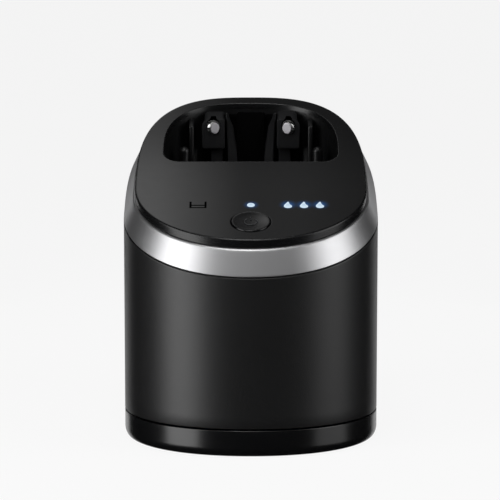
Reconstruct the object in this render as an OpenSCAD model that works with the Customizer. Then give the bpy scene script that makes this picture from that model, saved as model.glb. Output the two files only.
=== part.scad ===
// Cleaning station for an electric shaver: a base with a slide-in fluid cartridge, and a
// housing that lifts off it and holds the wash dish, the pump and the control panel.
// Sizes are in millimetres. The plan is laid out from the body's widest station, where
// y = 0 and the rear is +y; at_station() then moves the whole to the body's bottom centre.

/* [Body] */
// Width of the body at its widest station
body_w = 132; // [130:1:142]
// Depth of the body in front of the widest station
front_depth = 58.5; // [58:0.5:64]
// Depth of the body behind the widest station
rear_depth = 99.5; // [99:0.5:104]
// Exponent of the front half of the outline, where 2 is an ellipse
front_round = 2.12; // [2.1:0.02:2.4]
// Exponent of the rear half of the outline
rear_round = 2.9; // [2.8:0.1:3.4]
// Wall of the housing shell
shell_wall = 2.5; // [2:0.1:2.8]
// Height of the dark groove between two outer pieces
groove_h = 0.8; // [0.5:0.1:1]
// Depth of that groove
groove_d = 0.9; // [0.5:0.1:1.2]

/* [Base] */
// Height of the base's deck above the surface it stands on
deck_h = 14.2; // [13:0.2:16]
// Thickness of the deck
deck_t = 2.8; // [2:0.2:3.4]
// Height of the rubber feet below the base
foot_out = 0.5; // [0.5:0.1:1.2]
// Radius of a rubber foot
foot_r = 7; // [5:0.5:8]
// How far the rounded undercut draws in at the bottom
undercut = 3; // [2.5:0.1:4]
// Height over which the undercut rounds out to the full outline
undercut_h = 5; // [4:0.2:7]

/* [Slope of the top] */
// Height of the panel's plane at the widest station
panel_level = 131.4; // [129:0.2:136]
// Slope of the panel
panel_tilt = 21; // [20:0.5:22]
// Depth of the ring's top edge below the panel's plane
collar_h = 4.2; // [3.6:0.2:5]
// Slope of the ring's top edge
ring_top_tilt = 21.4; // [20.5:0.1:22]
// Height of the ring between its two edges
ring_h = 10.9; // [9:0.1:12]
// Slope of the ring's lower edge
ring_low_tilt = 21.7; // [21:0.1:22.5]
// How far the ring leans in from its lower to its top edge
ring_lean = 4.9; // [4:0.1:5.4]
// Inset of the cover's side from the body's outline
cover_inset = 5.7; // [5.5:0.1:6.4]
// Wall of the cover's side
cover_wall = 2.1; // [1.8:0.1:2.4]
// Thickness of the sloping panel
panel_t = 2.5; // [2:0.1:3]

/* [Shaver cavity] */
// Distance from the body's side to the cavity's opening
cavity_side_wall = 19.8; // [19:0.2:23]
// Distance from the dish's centre forward to the opening's straight front edge
cavity_lead = 26.8; // [25:0.2:28]
// Distance from the body's rear to the opening's rear edge
cavity_rear_wall = 13; // [12.5:0.5:15.5]
// Length of the opening's straight sides
cavity_straight = 13.8; // [12:0.2:17]
// Exponent of the opening's rear curve
cavity_round = 2.7; // [2.4:0.1:3]
// Radius of the opening's front corners
cavity_corner_r = 9; // [7:0.5:11]
// Wall of the cavity's liner
liner_wall = 2; // [1.4:0.1:2]
// How far the panel overhangs the liner's inner face
liner_set_back = 0.6; // [0.4:0.1:0.8]
// Height of the liner's floor
liner_floor = 98; // [97:0.5:101]
// Radius of the round opening over the wash dish
dish_mouth_r = 24; // [22:0.5:24]

/* [Contact bracket] */
// Distance between the two contact pins
pin_pitch = 40.8; // [40:0.2:42]
// Height of the contact pins
pin_level = 152.7; // [152.1:0.1:153.3]
// Radius of a contact pin
pin_r = 3.3; // [3:0.1:3.5]
// How far a contact pin stands out of its arm
pin_out = 2.6; // [2.2:0.1:3.2]
// Travel of a contact pin
pin_travel = 1.5; // [1:0.1:1.8]
// Width of a contact arm
arm_w = 12.5; // [11.5:0.5:13]
// Height of a contact arm's head
arm_h = 20; // [18:0.5:21]
// Depth of a contact arm from front to rear
arm_d = 8.5; // [8:0.5:9.5]
// Distance from the bracket's rear face to the opening's rear edge
bracket_gap = 5; // [4.7:0.1:5.5]

/* [Start button] */
// Radius of the start button
button_r = 10; // [9:0.5:10.5]
// Distance of the start button in front of the widest station
button_front = 35.8; // [35:0.2:36.6]
// Travel of the start button
button_travel = 0.9; // [0.6:0.1:1]
// Gap round the buttons
button_gap = 0.3; // [0.25:0.05:0.4]
// Depth of the dish in the button's face
button_dish = 0.9; // [0.5:0.1:1.2]
// Height that the button's rim stands over the panel
button_proud = 0.5; // [0.3:0.1:0.8]

/* [Indicators] */
// Distance of the row of indicators in front of the widest station
indicator_front = 19.4; // [19:0.2:20]
// Radius of the lit dot over the button
dot_r = 2.1; // [1.6:0.1:2.4]
// Radius of a drop's round end
drop_r = 2.3; // [2:0.1:2.5]
// Length of a drop from its round centre to its tip
drop_tip = 4.4; // [4:0.2:5]
// Distance from the last drop to the body's right side
drop_margin = 30.6; // [30:0.2:31]
// Distance between two drops
drop_pitch = 8.2; // [7.8:0.1:8.4]
// Distance from the cartridge mark to the body's left side
mark_margin = 38.9; // [38:0.1:40]
// Width of the cartridge mark
mark_w = 8.8; // [8:0.1:9.4]
// Depth of the cartridge mark along the slope
mark_d = 6.6; // [6:0.1:7]

/* [Cartridge] */
// Width of the cartridge
cartridge_w = 100; // [96:1:100]
// Distance from the dish's centre forward to the cartridge's front face
cartridge_lead = 21.5; // [20:0.5:22]
// Height of the cartridge
cartridge_h = 42; // [40:0.5:43]
// Wall of the cartridge's tub
tub_wall = 2; // [1.5:0.1:2.4]
// Thickness of the cartridge's lid
lid_t = 3; // [2.4:0.2:3.4]
// Gap between the cartridge and what it slides on
slide_gap = 0.3; // [0.25:0.05:0.4]
// Gap between the cartridge's lid and the nozzles over it
nozzle_gap = 0.4; // [0.3:0.05:0.5]
// Gap between the cartridge's lid and the chassis over it
bay_gap = 2; // [1.8:0.1:2.4]

/* [Chassis and lift] */
// Thickness of the chassis
chassis_t = 2.5; // [2:0.1:3]
// Gap between the chassis and the shell round it
chassis_gap = 0.3; // [0.2:0.05:0.5]
// Height that the housing lifts
lift_travel = 26; // [20:1:30]
// Radius of a guide rod
rod_r = 3; // [2.6:0.1:3.4]
// Running clearance of a rod, pin or shaft in its hole
fit_gap = 0.05; // [0.03:0.01:0.08]
// Distance of the guide rods from the body's sides
rod_margin = 12; // [11.8:0.1:12.5]
// Distance from the guide rods to the cavity's front edge
rod_lead = 16.2; // [15.2:0.5:18.2]
// Outer radius of a lift spring
lift_spring_r = 5.6; // [5:0.1:5.8]
// Wire diameter of a lift spring
lift_wire = 1.1; // [0.9:0.1:1.3]
// Travel of the lift button
lift_button_travel = 3; // [2:0.25:3.5]
// Width of the lift button
lift_button_w = 27.4; // [24:0.2:28]
// Height of the lift button
lift_button_h = 11.4; // [10:0.2:12]
// Thickness of the latch plate
latch_t = 2; // [1.6:0.1:2.4]

/* [Wash dish and pump] */
// Inner radius of the wash dish
dish_r = 25; // [24.5:0.5:26]
// Depth of the wash dish
dish_depth = 20; // [17:0.5:21]
// Wall of the wash dish
dish_wall = 1.8; // [1.4:0.1:2.2]
// Distance from the dish's centre to the body's rear
dish_from_rear = 48.5; // [48:0.5:49.5]
// Bore radius of the fluid tubes
tube_bore_r = 1.6; // [1.2:0.1:1.9]
// Wall of the fluid tubes
tube_wall = 0.9; // [0.7:0.1:1.1]
// Teeth on each pump gear
gear_teeth = 12; // [12:1:13]
// Module of the pump gears
gear_module = 1.2; // [1.1:0.05:1.2]
// Height of the pump's chamber
chamber_h = 9; // [7:0.5:10]
// Distance of the pump's axis from the middle
pump_side = 18; // [17.5:0.5:19]
// Distance of the motor's axis in front of the widest station
pump_front = 14; // [13.5:0.5:14.5]
// Radius of the pump's motor
motor_r = 10; // [9:0.2:10.2]
// Length of the pump's motor
motor_l = 28; // [24:1:29]

/* [Electronics] */
// Thickness of the control board
board_t = 1.6; // [1.2:0.2:2]
// Depth of the control board below the panel's face
board_depth = 11; // [10.6:0.2:12]
// Width of the power inlet's block
inlet_w = 22; // [20:1:24]
// Height of the power inlet's block
inlet_h = 13; // [12.4:0.2:13.2]
// Radius of an inlet pin
inlet_pin_r = 1.15; // [0.9:0.05:1.25]
// Length of an inlet pin
inlet_pin_l = 8.5; // [7:0.5:9]
// Distance between the two inlet pins
inlet_pin_pitch = 6.6; // [6:0.2:7]
// Depth of the inlet's socket
socket_depth = 13.5; // [13.2:0.1:14]
// Radius of a screw's shaft
screw_r = 1.35; // [1.1:0.05:1.4]
// Radius of a screw's head
screw_head_r = 2.6; // [2.2:0.1:2.8]
// Height of a screw's head
screw_head_h = 1.6; // [1.2:0.1:1.8]

/* [Hidden] */
$fn = 48;
outline_steps = 96;
station_y = (front_depth - rear_depth) / 2;
reach = body_w + rear_depth;
half_w = body_w / 2;
cut = 0.5;
contact = 0.02;

dish_back = rear_depth - dish_from_rear;
cavity_w = body_w - 2 * cavity_side_wall;
cavity_front = dish_back - cavity_lead;
cavity_rear = rear_depth - cavity_rear_wall;
cavity_side = cavity_front + cavity_straight;
bracket_rear = cavity_rear - bracket_gap;
arm_front = bracket_rear - arm_d;
cartridge_front = dish_back - cartridge_lead;
rod_side = half_w - rod_margin;
rod_back = cavity_front - rod_lead;
drop_from = half_w - drop_margin - 2 * drop_pitch;
mark_from = half_w - mark_margin;

base_bottom = foot_out;
undercut_rings = [for (a = [0, 20, 40, 58, 74, 90])
    [undercut * (1 - sin(a)), base_bottom + undercut_h * (1 - cos(a))]];
shell_bottom = deck_h + groove_h;
cartridge_bottom = deck_h + slide_gap;
cartridge_top = cartridge_bottom + cartridge_h;
lid_bottom = cartridge_top - lid_t;
chassis_bottom = cartridge_top + bay_gap;
chassis_top = chassis_bottom + chassis_t;
chassis_inset = shell_wall + chassis_gap;
ring_top_level = panel_level - collar_h;
ring_low_level = ring_top_level - ring_h;
top_z = panel_level + rear_depth * tan(panel_tilt) + panel_t;
nozzle_bottom = cartridge_top + nozzle_gap;

plate_level = chassis_top + slide_gap;
plate_top = plate_level + latch_t;
lift_button_z = plate_top + lift_button_h / 2;
inlet_z = liner_floor - contact - inlet_h / 2 - 0.5;

ledge_t = 2;
side_ledge_l = 34.5;
side_ledge_h = 6;
front_ledge_w = 40;
front_ledge_h = 8;
post_w = 10;
post_d = 4;
post_head = 2;
post_head_h = 3;
post_gap = 0.1;
post_back = cartridge_front - slide_gap - ledge_t - post_gap;
plate_w = 22;
plate_bar = 4.5;
window_w = post_w + 2;
window_front = post_back - post_d - post_head - slide_gap;
plate_front = window_front - plate_bar;

dish_flange_r = dish_r + dish_wall + 2.2;
dish_flange_t = 2;
gasket_t = 1.6;
dish_rim = liner_floor - gasket_t;
dish_bottom = dish_rim - dish_depth - dish_wall;
tube_r = tube_bore_r + tube_wall;
drain_r = 5;
drain_bore_r = 3.5;
drain_flange_r = 8;
drain_flange_t = 2;

gear_r = gear_teeth * gear_module / 2;
gear_tip_r = gear_r + gear_module * 0.85;
gear_root_r = gear_r - gear_module * 1.2;
gear_pressure = 20;
gear_slack = 1.6;
flank_steps = 4;
gear_gap = 0.2;
motor_x = -pump_side;
motor_y = -pump_front;
idler_y = motor_y + 2 * gear_r;
mesh_y = motor_y + gear_r;
pump_floor = 3;
bracket_wall = 1.2;
pump_screw_reach = (motor_r + bracket_wall + screw_head_r + fit_gap) / sqrt(2) + 0.1;
pump_half_w = pump_screw_reach + screw_head_r;
pump_rear_wall = 3.5;
pump_from = motor_y - pump_half_w;
pump_back = idler_y + gear_tip_r + pump_rear_wall;
pump_left = motor_x - pump_half_w;
pump_right = motor_x + pump_half_w;
chamber_bottom = chassis_top + pump_floor;
chamber_top = chamber_bottom + chamber_h;
pump_cover_t = 3;
pump_cover_top = chamber_top + pump_cover_t;
bracket_t = 1.5;
motor_bottom = pump_cover_top + bracket_t;
shaft_r = 1.5;
idler_pin_r = 1.45;
elbow_r = 5;
stub_l = 2;
port_depth = 1.5;
port_z = chamber_bottom + chamber_h / 2;
suction_x = pump_left - stub_l / 2 - elbow_r;
suction_y = dish_back - 11;
feed_x = pump_right + stub_l / 2 + elbow_r;
feed_level = dish_rim - 8.4;

arm_head_z = pin_level + 8.5;
rim_gap = 2;
arm_side = pin_pitch / 2;
rib_x = arm_side + arm_w / 2 + 4.35;
peg_x = dish_mouth_r + 12;
peg_r = 2.8;
peg_top = liner_floor + 43;
chamber_r = pin_r + 0.9;
pin_shoulder = 2.5;
flange_t = 1.2;
terminal_t = 1.2;

inlet_root_r = inlet_pin_r + 0.4;
socket_t = 4;
button_y = -button_front;
button_flange_r = button_r + 1.6;
button_cap_t = panel_t + 0.2;
switch_side = 6;
switch_h = 3.5;
plunger_h = 1.2;
stem_gap = button_travel + 0.15;
guide_gap = 0.05;

door_w = cartridge_w + 4 * slide_gap;
door_top = cartridge_top + 0.5;

boss_r = 4;
cover_screw_side = half_w - 16;
cover_screw_front_side = half_w - 24;
cover_screws = [for (side = [-1, 1], p = [[cover_screw_side, cavity_front - 4.2],
    [cover_screw_front_side, 34.5 - front_depth]]) [side * p.x, p.y]];
base_screws = [[half_w - 18, dish_back - 25], [18 - half_w, dish_back - 25],
    [half_w - 44, 16.5 - front_depth], [44 - half_w, 16.5 - front_depth], [0, rear_depth - 15.5]];
feet = [for (side = [-1, 1], p = [[half_w - 26, 44.5 - front_depth], [half_w - 32, rear_depth - 37.5]]) [side * p.x, p.y]];
foot_recess = 0.8;
plate_t = 2.4;

// The control board's outline: its half width, and its edges behind and in front
board_half = half_w - 29.5;
board_corner = 9.5;
board_rear_y = -9;
board_shoulder_y = 30.5 - front_depth;
board_front_y = 16 - front_depth;
board_screw_r = 0.8;
board_screws = [for (side = [-1, 1], p = [[board_half - 5.5, -14], [board_half - 14.5, -36]]) [side * p.x, p.y]];

// ---- shapes that several pieces share ----

function power(value, exponent) = sign(value) * pow(abs(value), exponent);

// The body's outline in plan, drawn in by an inset: two half superellipses
function outline(inset) = [
    for (i = [0:outline_steps - 1])
        let (angle = 360 * i / outline_steps,
             front = sin(angle) < 0,
             depth = (front ? front_depth : rear_depth) - inset,
             round = 2 / (front ? front_round : rear_round))
        [(body_w / 2 - inset) * power(cos(angle), round), depth * power(sin(angle), round)]
];

function plane_z(level, tilt, y) = level + tan(tilt) * y;

// The outline laid on a sloping plane
function sloping_ring(inset, level, tilt) =
    [for (p = outline(inset)) [p.x, p.y, plane_z(level, tilt, p.y)]];

// The opening of the shaver cavity, grown by a distance
function cavity_outline(grow) = concat(
    [for (i = [0:36])
        [(cavity_w / 2 + grow) * power(cos(5 * i), 2 / cavity_round),
         cavity_side + (cavity_rear - cavity_side + grow) * power(sin(5 * i), 2 / cavity_round)]],
    [for (i = [0:6])
        [-(cavity_w / 2 - cavity_corner_r) + (cavity_corner_r + grow) * cos(180 + 15 * i),
         cavity_front + cavity_corner_r + (cavity_corner_r + grow) * sin(180 + 15 * i)]],
    [for (i = [0:6])
        [cavity_w / 2 - cavity_corner_r + (cavity_corner_r + grow) * cos(270 + 15 * i),
         cavity_front + cavity_corner_r + (cavity_corner_r + grow) * sin(270 + 15 * i)]]
);

module at_station() {
    translate([0, station_y, 0]) children();
}

// A closed solid through rings of equally many points, flat at both ends
module loft(rings) {
    n = len(rings[0]);
    last = len(rings) - 1;
    polyhedron(
        points = [for (ring = rings) each ring],
        faces = concat(
            [[for (i = [0:n - 1]) i]],
            [for (k = [0:last - 1], i = [0:n - 1]) [k * n + i, (k + 1) * n + i, (k + 1) * n + (i + 1) % n]],
            [for (k = [0:last - 1], i = [0:n - 1]) [k * n + i, (k + 1) * n + (i + 1) % n, k * n + (i + 1) % n]],
            [[for (i = [n - 1:-1:0]) last * n + i]]
        ),
        convexity = 4
    );
}

module prism(inset, bottom, top) {
    translate([0, 0, bottom]) linear_extrude(top - bottom) polygon(outline(inset));
}

module above_plane(level, tilt) {
    translate([0, 0, level]) rotate([tilt, 0, 0]) translate([-reach, -reach, 0]) cube([2 * reach, 2 * reach, reach]);
}

module below_plane(level, tilt) {
    translate([0, 0, level]) rotate([tilt, 0, 0]) translate([-reach, -reach, -reach]) cube([2 * reach, 2 * reach, reach]);
}

// Places its children on the panel's face, z away from the panel
module on_panel(x, y) {
    translate([0, 0, panel_level]) rotate([panel_tilt, 0, 0]) translate([x, y / cos(panel_tilt), 0]) children();
}

module post(x, y, r, bottom, top) {
    translate([x, y, bottom]) cylinder(r = r, h = top - bottom);
}

module block(x_from, x_to, y_from, y_to, z_from, z_to) {
    translate([x_from, y_from, z_from]) cube([x_to - x_from, y_to - y_from, z_to - z_from]);
}

// A tube along +y
module along_y(x, y_from, y_to, z, r) {
    translate([x, y_from, z]) rotate([-90, 0, 0]) cylinder(r = r, h = y_to - y_from);
}

module screw(length) {
    cylinder(r = screw_r, h = length);
    translate([0, 0, -screw_head_h]) cylinder(r = screw_head_r, h = screw_head_h);
}

module both_sides() {
    children();
    mirror([1, 0, 0]) children();
}

// ---- base ----

module base_tray() {
    at_station() color("#0d0d0e") difference() {
        union() {
            difference() {
                loft([for (s = concat(undercut_rings, [[0, deck_h - 0.6], [0.5, deck_h]]))
                    sloping_ring(s[0], s[1], 0)]);
                prism(undercut + shell_wall, base_bottom - cut, deck_h - deck_t);
            }
            both_sides() {
                block(cartridge_w / 2 + slide_gap, cartridge_w / 2 + slide_gap + ledge_t,
                    cartridge_front, cartridge_front + side_ledge_l, deck_h - cut, deck_h + side_ledge_h);
                post(rod_side, rod_back, rod_r + 2.5, deck_h - deck_t - cut, deck_h);
            }
            block(-front_ledge_w / 2, front_ledge_w / 2, cartridge_front - slide_gap - ledge_t,
                cartridge_front - slide_gap, deck_h - cut, deck_h + front_ledge_h);
            for (p = base_screws) post(p.x, p.y, boss_r, base_bottom + plate_t, deck_h - cut);
        }
        both_sides() post(rod_side, rod_back, rod_r, deck_h - 2, deck_h + cut);
        for (p = base_screws) post(p.x, p.y, screw_r + fit_gap, base_bottom - cut, base_bottom + 9);
    }
}

module base_plate() {
    at_station() color("#18181a") difference() {
        prism(undercut + shell_wall + 0.2, base_bottom, base_bottom + plate_t);
        for (p = base_screws) {
            post(p.x, p.y, screw_r + 0.2, base_bottom - cut, base_bottom + plate_t + cut);
            post(p.x, p.y, screw_head_r + 0.2, base_bottom - cut, base_bottom + screw_head_h);
        }
        for (p = feet) post(p.x, p.y, foot_r + guide_gap, base_bottom - cut, base_bottom + foot_recess);
    }
}

module rubber_feet() {
    at_station() color("#2b2b2b") for (p = feet) post(p.x, p.y, foot_r, 0, base_bottom + foot_recess);
}

module base_screws() {
    at_station() color("silver") for (p = base_screws) translate([p.x, p.y, base_bottom + screw_head_h]) screw(7);
}

module guide_rods() {
    at_station() color("#c4c6c8") both_sides() post(rod_side, rod_back, rod_r - fit_gap, deck_h - 2, rod_top());
}

function rod_top() = chassis_top + lift_travel + 6;

// The springs' outer shape: each is wound as a coil on the finished piece
module lift_springs() {
    at_station() color("#b9bbbd") both_sides() translate([rod_side, rod_back, deck_h]) difference() {
        cylinder(r = lift_spring_r, h = chassis_bottom - 0.1 - deck_h);
        translate([0, 0, -cut]) cylinder(r = lift_spring_r - lift_wire, h = chassis_bottom);
    }
}

// The post's head reaches forward, over the front bar of the latch plate's window
module latch_post() {
    at_station() color("#c4c6c8") {
        block(-post_w / 2, post_w / 2, post_back - post_d, post_back, deck_h, plate_top + 0.4 + post_head_h);
        block(-post_w / 2, post_w / 2, post_back - post_d - post_head, post_back - post_d + cut,
            plate_top + 0.4, plate_top + 0.4 + post_head_h);
    }
}

// ---- cartridge ----

module cartridge_shape(inset, bottom, top) {
    intersection() {
        prism(inset, bottom, top);
        block(-cartridge_w / 2 + inset, cartridge_w / 2 - inset, cartridge_front + inset, reach, bottom, top);
    }
}

module cartridge_tub() {
    at_station() color("#3a6ea5") difference() {
        cartridge_shape(0, cartridge_bottom, lid_bottom);
        difference() {
            cartridge_shape(tub_wall, cartridge_bottom + tub_wall, lid_bottom + cut);
            block(-22, 22, rear_depth - 10, rear_depth + 1, cartridge_bottom, cartridge_bottom + 26);
        }
        block(-20, 20, rear_depth - 8, rear_depth + 1, cartridge_bottom + 9, cartridge_bottom + 24);
    }
}

module cartridge_lid() {
    at_station() color("#2c5c92") difference() {
        union() {
            cartridge_shape(0, lid_bottom, cartridge_top);
            post(suction_x, suction_y, tube_r + 1.6, cartridge_bottom + tub_wall + 3, lid_bottom + cut);
        }
        post(0, dish_back, drain_r + 1.5, lid_bottom - cut, cartridge_top + cut);
        post(suction_x, suction_y, tube_r + 0.4, cartridge_bottom, cartridge_top + cut);
    }
}

module cartridge_filter() {
    at_station() color("#d8dde0") translate([0, dish_back, 0]) difference() {
        post(0, 0, 12, cartridge_bottom + 10, lid_bottom);
        post(0, 0, 10.8, cartridge_bottom + 11.2, lid_bottom + cut);
    }
}

// ---- housing: outer skin ----

module housing_shell() {
    at_station() color("#1d1d1f") difference() {
        union() {
            difference() {
                prism(0, shell_bottom, top_z);
                above_plane(ring_low_level - groove_h, ring_low_tilt);
                prism(shell_wall, shell_bottom - cut, top_z + cut);
            }
            difference() {
                prism(groove_d, shell_bottom, top_z);
                above_plane(ring_low_level, ring_low_tilt);
                prism(shell_wall, shell_bottom - cut, top_z + cut);
            }
            difference() {
                prism(shell_wall - 0.4, chassis_bottom - 2, chassis_bottom);
                prism(shell_wall + 3, chassis_bottom - 3, chassis_bottom + cut);
                block(-reach, reach, 60, reach, chassis_bottom - 3, chassis_bottom + 1);
            }
        }
        block(-door_w / 2, door_w / 2, cartridge_front - 1, reach, shell_bottom - cut, door_top);
        block(-lift_button_w / 2 - button_gap, lift_button_w / 2 + button_gap, rear_depth - 12, rear_depth + 1,
            lift_button_z - lift_button_h / 2 - button_gap, lift_button_z + lift_button_h / 2 + button_gap);
        block(-inlet_w / 2 - guide_gap, inlet_w / 2 + guide_gap, rear_depth - 12, rear_depth + 1,
            inlet_z - inlet_h / 2 - guide_gap, inlet_z + inlet_h / 2 + guide_gap);
    }
}

module trim_ring() {
    at_station() color("#c9cacc") difference() {
        loft([sloping_ring(0, ring_low_level, ring_low_tilt),
              sloping_ring(ring_lean, ring_top_level, ring_top_tilt)]);
        loft([sloping_ring(shell_wall - ring_lean / ring_h, ring_low_level - 1, ring_low_tilt),
              sloping_ring(shell_wall + ring_lean + ring_lean / ring_h, ring_top_level + 1, ring_top_tilt)]);
    }
}

// A flat seal under the cover's side, on the ring's top edge
module cover_gasket() {
    at_station() color("#101010") difference() {
        prism(cover_inset + 0.5, ring_low_level - rear_depth, top_z);
        prism(cover_inset + cover_wall - 0.4, ring_low_level - rear_depth - 1, top_z + 1);
        above_plane(ring_top_level + gasket_h(), ring_top_tilt);
        below_plane(ring_top_level, ring_top_tilt);
    }
}

function gasket_h() = 0.6;

module drop_shape(grow) {
    hull() {
        circle(r = drop_r + grow, $fn = 32);
        translate([0.5, drop_tip]) circle(r = 0.3 + grow, $fn = 16);
    }
}

module mark_shape(grow) {
    bar = 0.55 + grow;
    for (side = [-1, 1]) translate([side * (mark_w / 2 - 0.55) - bar, -mark_d / 2 - grow]) square([2 * bar, mark_d + 2 * grow]);
    for (y = [-mark_d / 2, -mark_d / 2 + 2.4]) translate([-mark_w / 2, y - grow]) square([mark_w, 0.8 + 2 * grow]);
}

module top_cover() {
    guide_depth = panel_t + 1;
    at_station() color("#151517") difference() {
        union() {
            difference() {
                prism(cover_inset, ring_low_level - rear_depth, top_z);
                above_plane(panel_level, panel_tilt);
                below_plane(ring_top_level + gasket_h(), ring_top_tilt);
                difference() {
                    prism(cover_inset + cover_wall, ring_low_level - rear_depth, top_z);
                    above_plane(panel_level - panel_t, panel_tilt);
                }
            }
            difference() {
                for (p = cover_screws) post(p.x, p.y, boss_r, chassis_top, top_z);
                above_plane(panel_level - panel_t / 2, panel_tilt);
            }
            for (p = board_screws)
                on_panel(p.x, p.y) translate([0, 0, -board_depth]) cylinder(r = 2.6, h = board_depth - panel_t / 2);
        }
        translate([0, 0, liner_floor]) linear_extrude(top_z) polygon(cavity_outline(0));
        on_panel(0, button_y) translate([0, 0, -guide_depth]) cylinder(r = button_r + button_gap, h = 2 * guide_depth);
        on_panel(0, -indicator_front) translate([0, 0, -guide_depth]) cylinder(r = dot_r + guide_gap, h = 2 * guide_depth);
        for (i = [0:2]) on_panel(drop_from + i * drop_pitch, -indicator_front - drop_tip / 3)
            translate([0, 0, -guide_depth]) linear_extrude(2 * guide_depth) drop_shape(guide_gap);
        on_panel(-mark_from, -indicator_front) translate([0, 0, -mark_t()]) linear_extrude(2) mark_shape(guide_gap);
        for (p = cover_screws) post(p.x, p.y, screw_r + fit_gap, chassis_top - cut, chassis_top + 12);
        for (p = board_screws)
            on_panel(p.x, p.y) translate([0, 0, -board_depth - cut]) cylinder(r = board_screw_r + fit_gap, h = 6);
    }
}

function mark_t() = 1.2;

// ---- shaver cavity ----

module cavity_liner() {
    at_station() color("#111113") union() {
        difference() {
            translate([0, 0, liner_floor]) linear_extrude(top_z - liner_floor) polygon(cavity_outline(liner_set_back + liner_wall));
            translate([0, 0, liner_floor + liner_wall]) linear_extrude(top_z) polygon(cavity_outline(liner_set_back));
            above_plane(panel_level - panel_t - contact, panel_tilt);
            post(0, dish_back, dish_mouth_r, liner_floor - cut, liner_floor + liner_wall + cut);
        }
        both_sides() {
            // round locating posts beside the dish
            post(peg_x, dish_back + 11, peg_r, liner_floor + liner_wall - cut, peg_top);
            translate([peg_x, dish_back + 11, peg_top]) sphere(r = peg_r);
            // ribs beside the arms
            difference() {
                block(rib_x, rib_x + 2.5, arm_front - 3, bracket_rear - 2.5, liner_floor + liner_wall - cut, top_z);
                above_plane(panel_level - panel_t - rim_gap, panel_tilt);
            }
        }
    }
}

module contact_bracket() {
    chamber_front = arm_front + pin_shoulder;
    at_station() color("#161618") difference() {
        union() {
            block(-arm_side - arm_w / 2, arm_side + arm_w / 2, bracket_rear - 2.5, bracket_rear, floor_top(), arm_head_z - 3);
            block(-7.5, 7.5, bracket_rear - 4.2, bracket_rear - 2, floor_top(), arm_head_z - 4);
            both_sides() {
                // the arm's head, with rounded upper corners
                hull() {
                    block(arm_side - arm_w / 2, arm_side + arm_w / 2, arm_front, bracket_rear,
                        arm_head_z - arm_h, arm_head_z - 5);
                    along_y(arm_side - arm_w / 2 + 2, arm_front + 1, bracket_rear, arm_head_z - 2, 2);
                    along_y(arm_side + arm_w / 2 - 5, arm_front + 1, bracket_rear, arm_head_z - 5, 5);
                }
                // the stem under it
                block(arm_side - arm_w / 2 + 1, arm_side + 1.5, arm_front + 4, bracket_rear,
                    floor_top(), arm_head_z - arm_h + cut);
            }
        }
        above_plane(panel_level - rim_gap, panel_tilt);
        both_sides() {
            along_y(arm_side, arm_front - cut, bracket_rear + cut, pin_level, pin_r + fit_gap);
            along_y(arm_side, chamber_front, bracket_rear + cut, pin_level, chamber_r);
        }
    }
}

function floor_top() = liner_floor + liner_wall + contact;

module contact_pin(x) {
    at_station() color("#e4e6e8") {
        along_y(x, arm_front - pin_out, arm_front + pin_shoulder + 0.5, pin_level, pin_r);
        along_y(x, arm_front + pin_shoulder + 0.1, arm_front + pin_shoulder + 0.1 + flange_t, pin_level, chamber_r - 0.3);
    }
}

module contact_pin_left() {
    contact_pin(-arm_side);
}

module contact_pin_right() {
    contact_pin(arm_side);
}

// Drawn at their pressed length, so the pins have room to travel
module contact_springs() {
    at_station() color("#b9bbbd") both_sides() difference() {
        along_y(arm_side, spring_front(), bracket_rear - terminal_t, pin_level, chamber_r - 0.4);
        along_y(arm_side, spring_front() - cut, bracket_rear, pin_level, chamber_r - 1.1);
    }
}

function spring_front() = arm_front + pin_shoulder + 0.1 + flange_t + pin_travel + 0.2;

module contact_terminals() {
    at_station() color("#b08d3c") both_sides() {
        along_y(arm_side, bracket_rear - terminal_t, bracket_rear + 0.9, pin_level, chamber_r - guide_gap);
        block(arm_side - 1.5, arm_side + 1.5, bracket_rear + contact, bracket_rear + 0.9, pin_level - 6, pin_level);
    }
}

module wash_dish() {
    at_station() color("#4a4d50") translate([0, dish_back, 0]) difference() {
        union() {
            post(0, 0, dish_flange_r, dish_rim - dish_flange_t, dish_rim);
            rotate_extrude() polygon(dish_profile(dish_wall));
        }
        rotate_extrude() polygon(concat([[0, dish_rim + cut]], dish_profile(0), [[dish_r, dish_rim + cut]]));
        post(0, 0, drain_bore_r, dish_bottom - cut, dish_rim);
        along_y(feed_x, -dish_flange_r, -dish_r / 2, feed_level, tube_r + contact);
    }
}

// Half of the bowl, with an elliptic floor
function dish_profile(grow) = concat(
    [[0, dish_rim], [0, dish_rim - dish_depth - grow]],
    [for (i = [0:12])
        [drain_flange_r + (dish_r - drain_flange_r + grow) * sin(7.5 * i),
         dish_rim - 4 - (dish_depth - 4 + grow) * cos(7.5 * i)]],
    [[dish_r + grow, dish_rim]]
);

module dish_gasket() {
    at_station() color("#26282a") translate([0, dish_back, 0]) difference() {
        post(0, 0, dish_flange_r - 0.4, dish_rim, liner_floor);
        post(0, 0, dish_r + 0.4, dish_rim - cut, liner_floor + cut);
    }
}

module drain_spout() {
    at_station() color("#4a4d50") translate([0, dish_back, 0]) difference() {
        union() {
            post(0, 0, drain_r, nozzle_bottom, dish_bottom);
            post(0, 0, drain_flange_r - 0.6, dish_bottom - drain_flange_t, dish_bottom);
        }
        post(0, 0, drain_bore_r, nozzle_bottom - cut, dish_bottom + cut);
    }
}

module nozzle_seals() {
    at_station() color("#26282a") {
        for (s = [[0, dish_back, drain_r], [suction_x, suction_y, tube_r]]) difference() {
            post(s[0], s[1], s[2] + 2, nozzle_bottom + 0.2, chassis_bottom);
            post(s[0], s[1], s[2] + contact, nozzle_bottom - cut, chassis_bottom + cut);
        }
    }
}

// ---- chassis, latch and lift button ----

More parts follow.
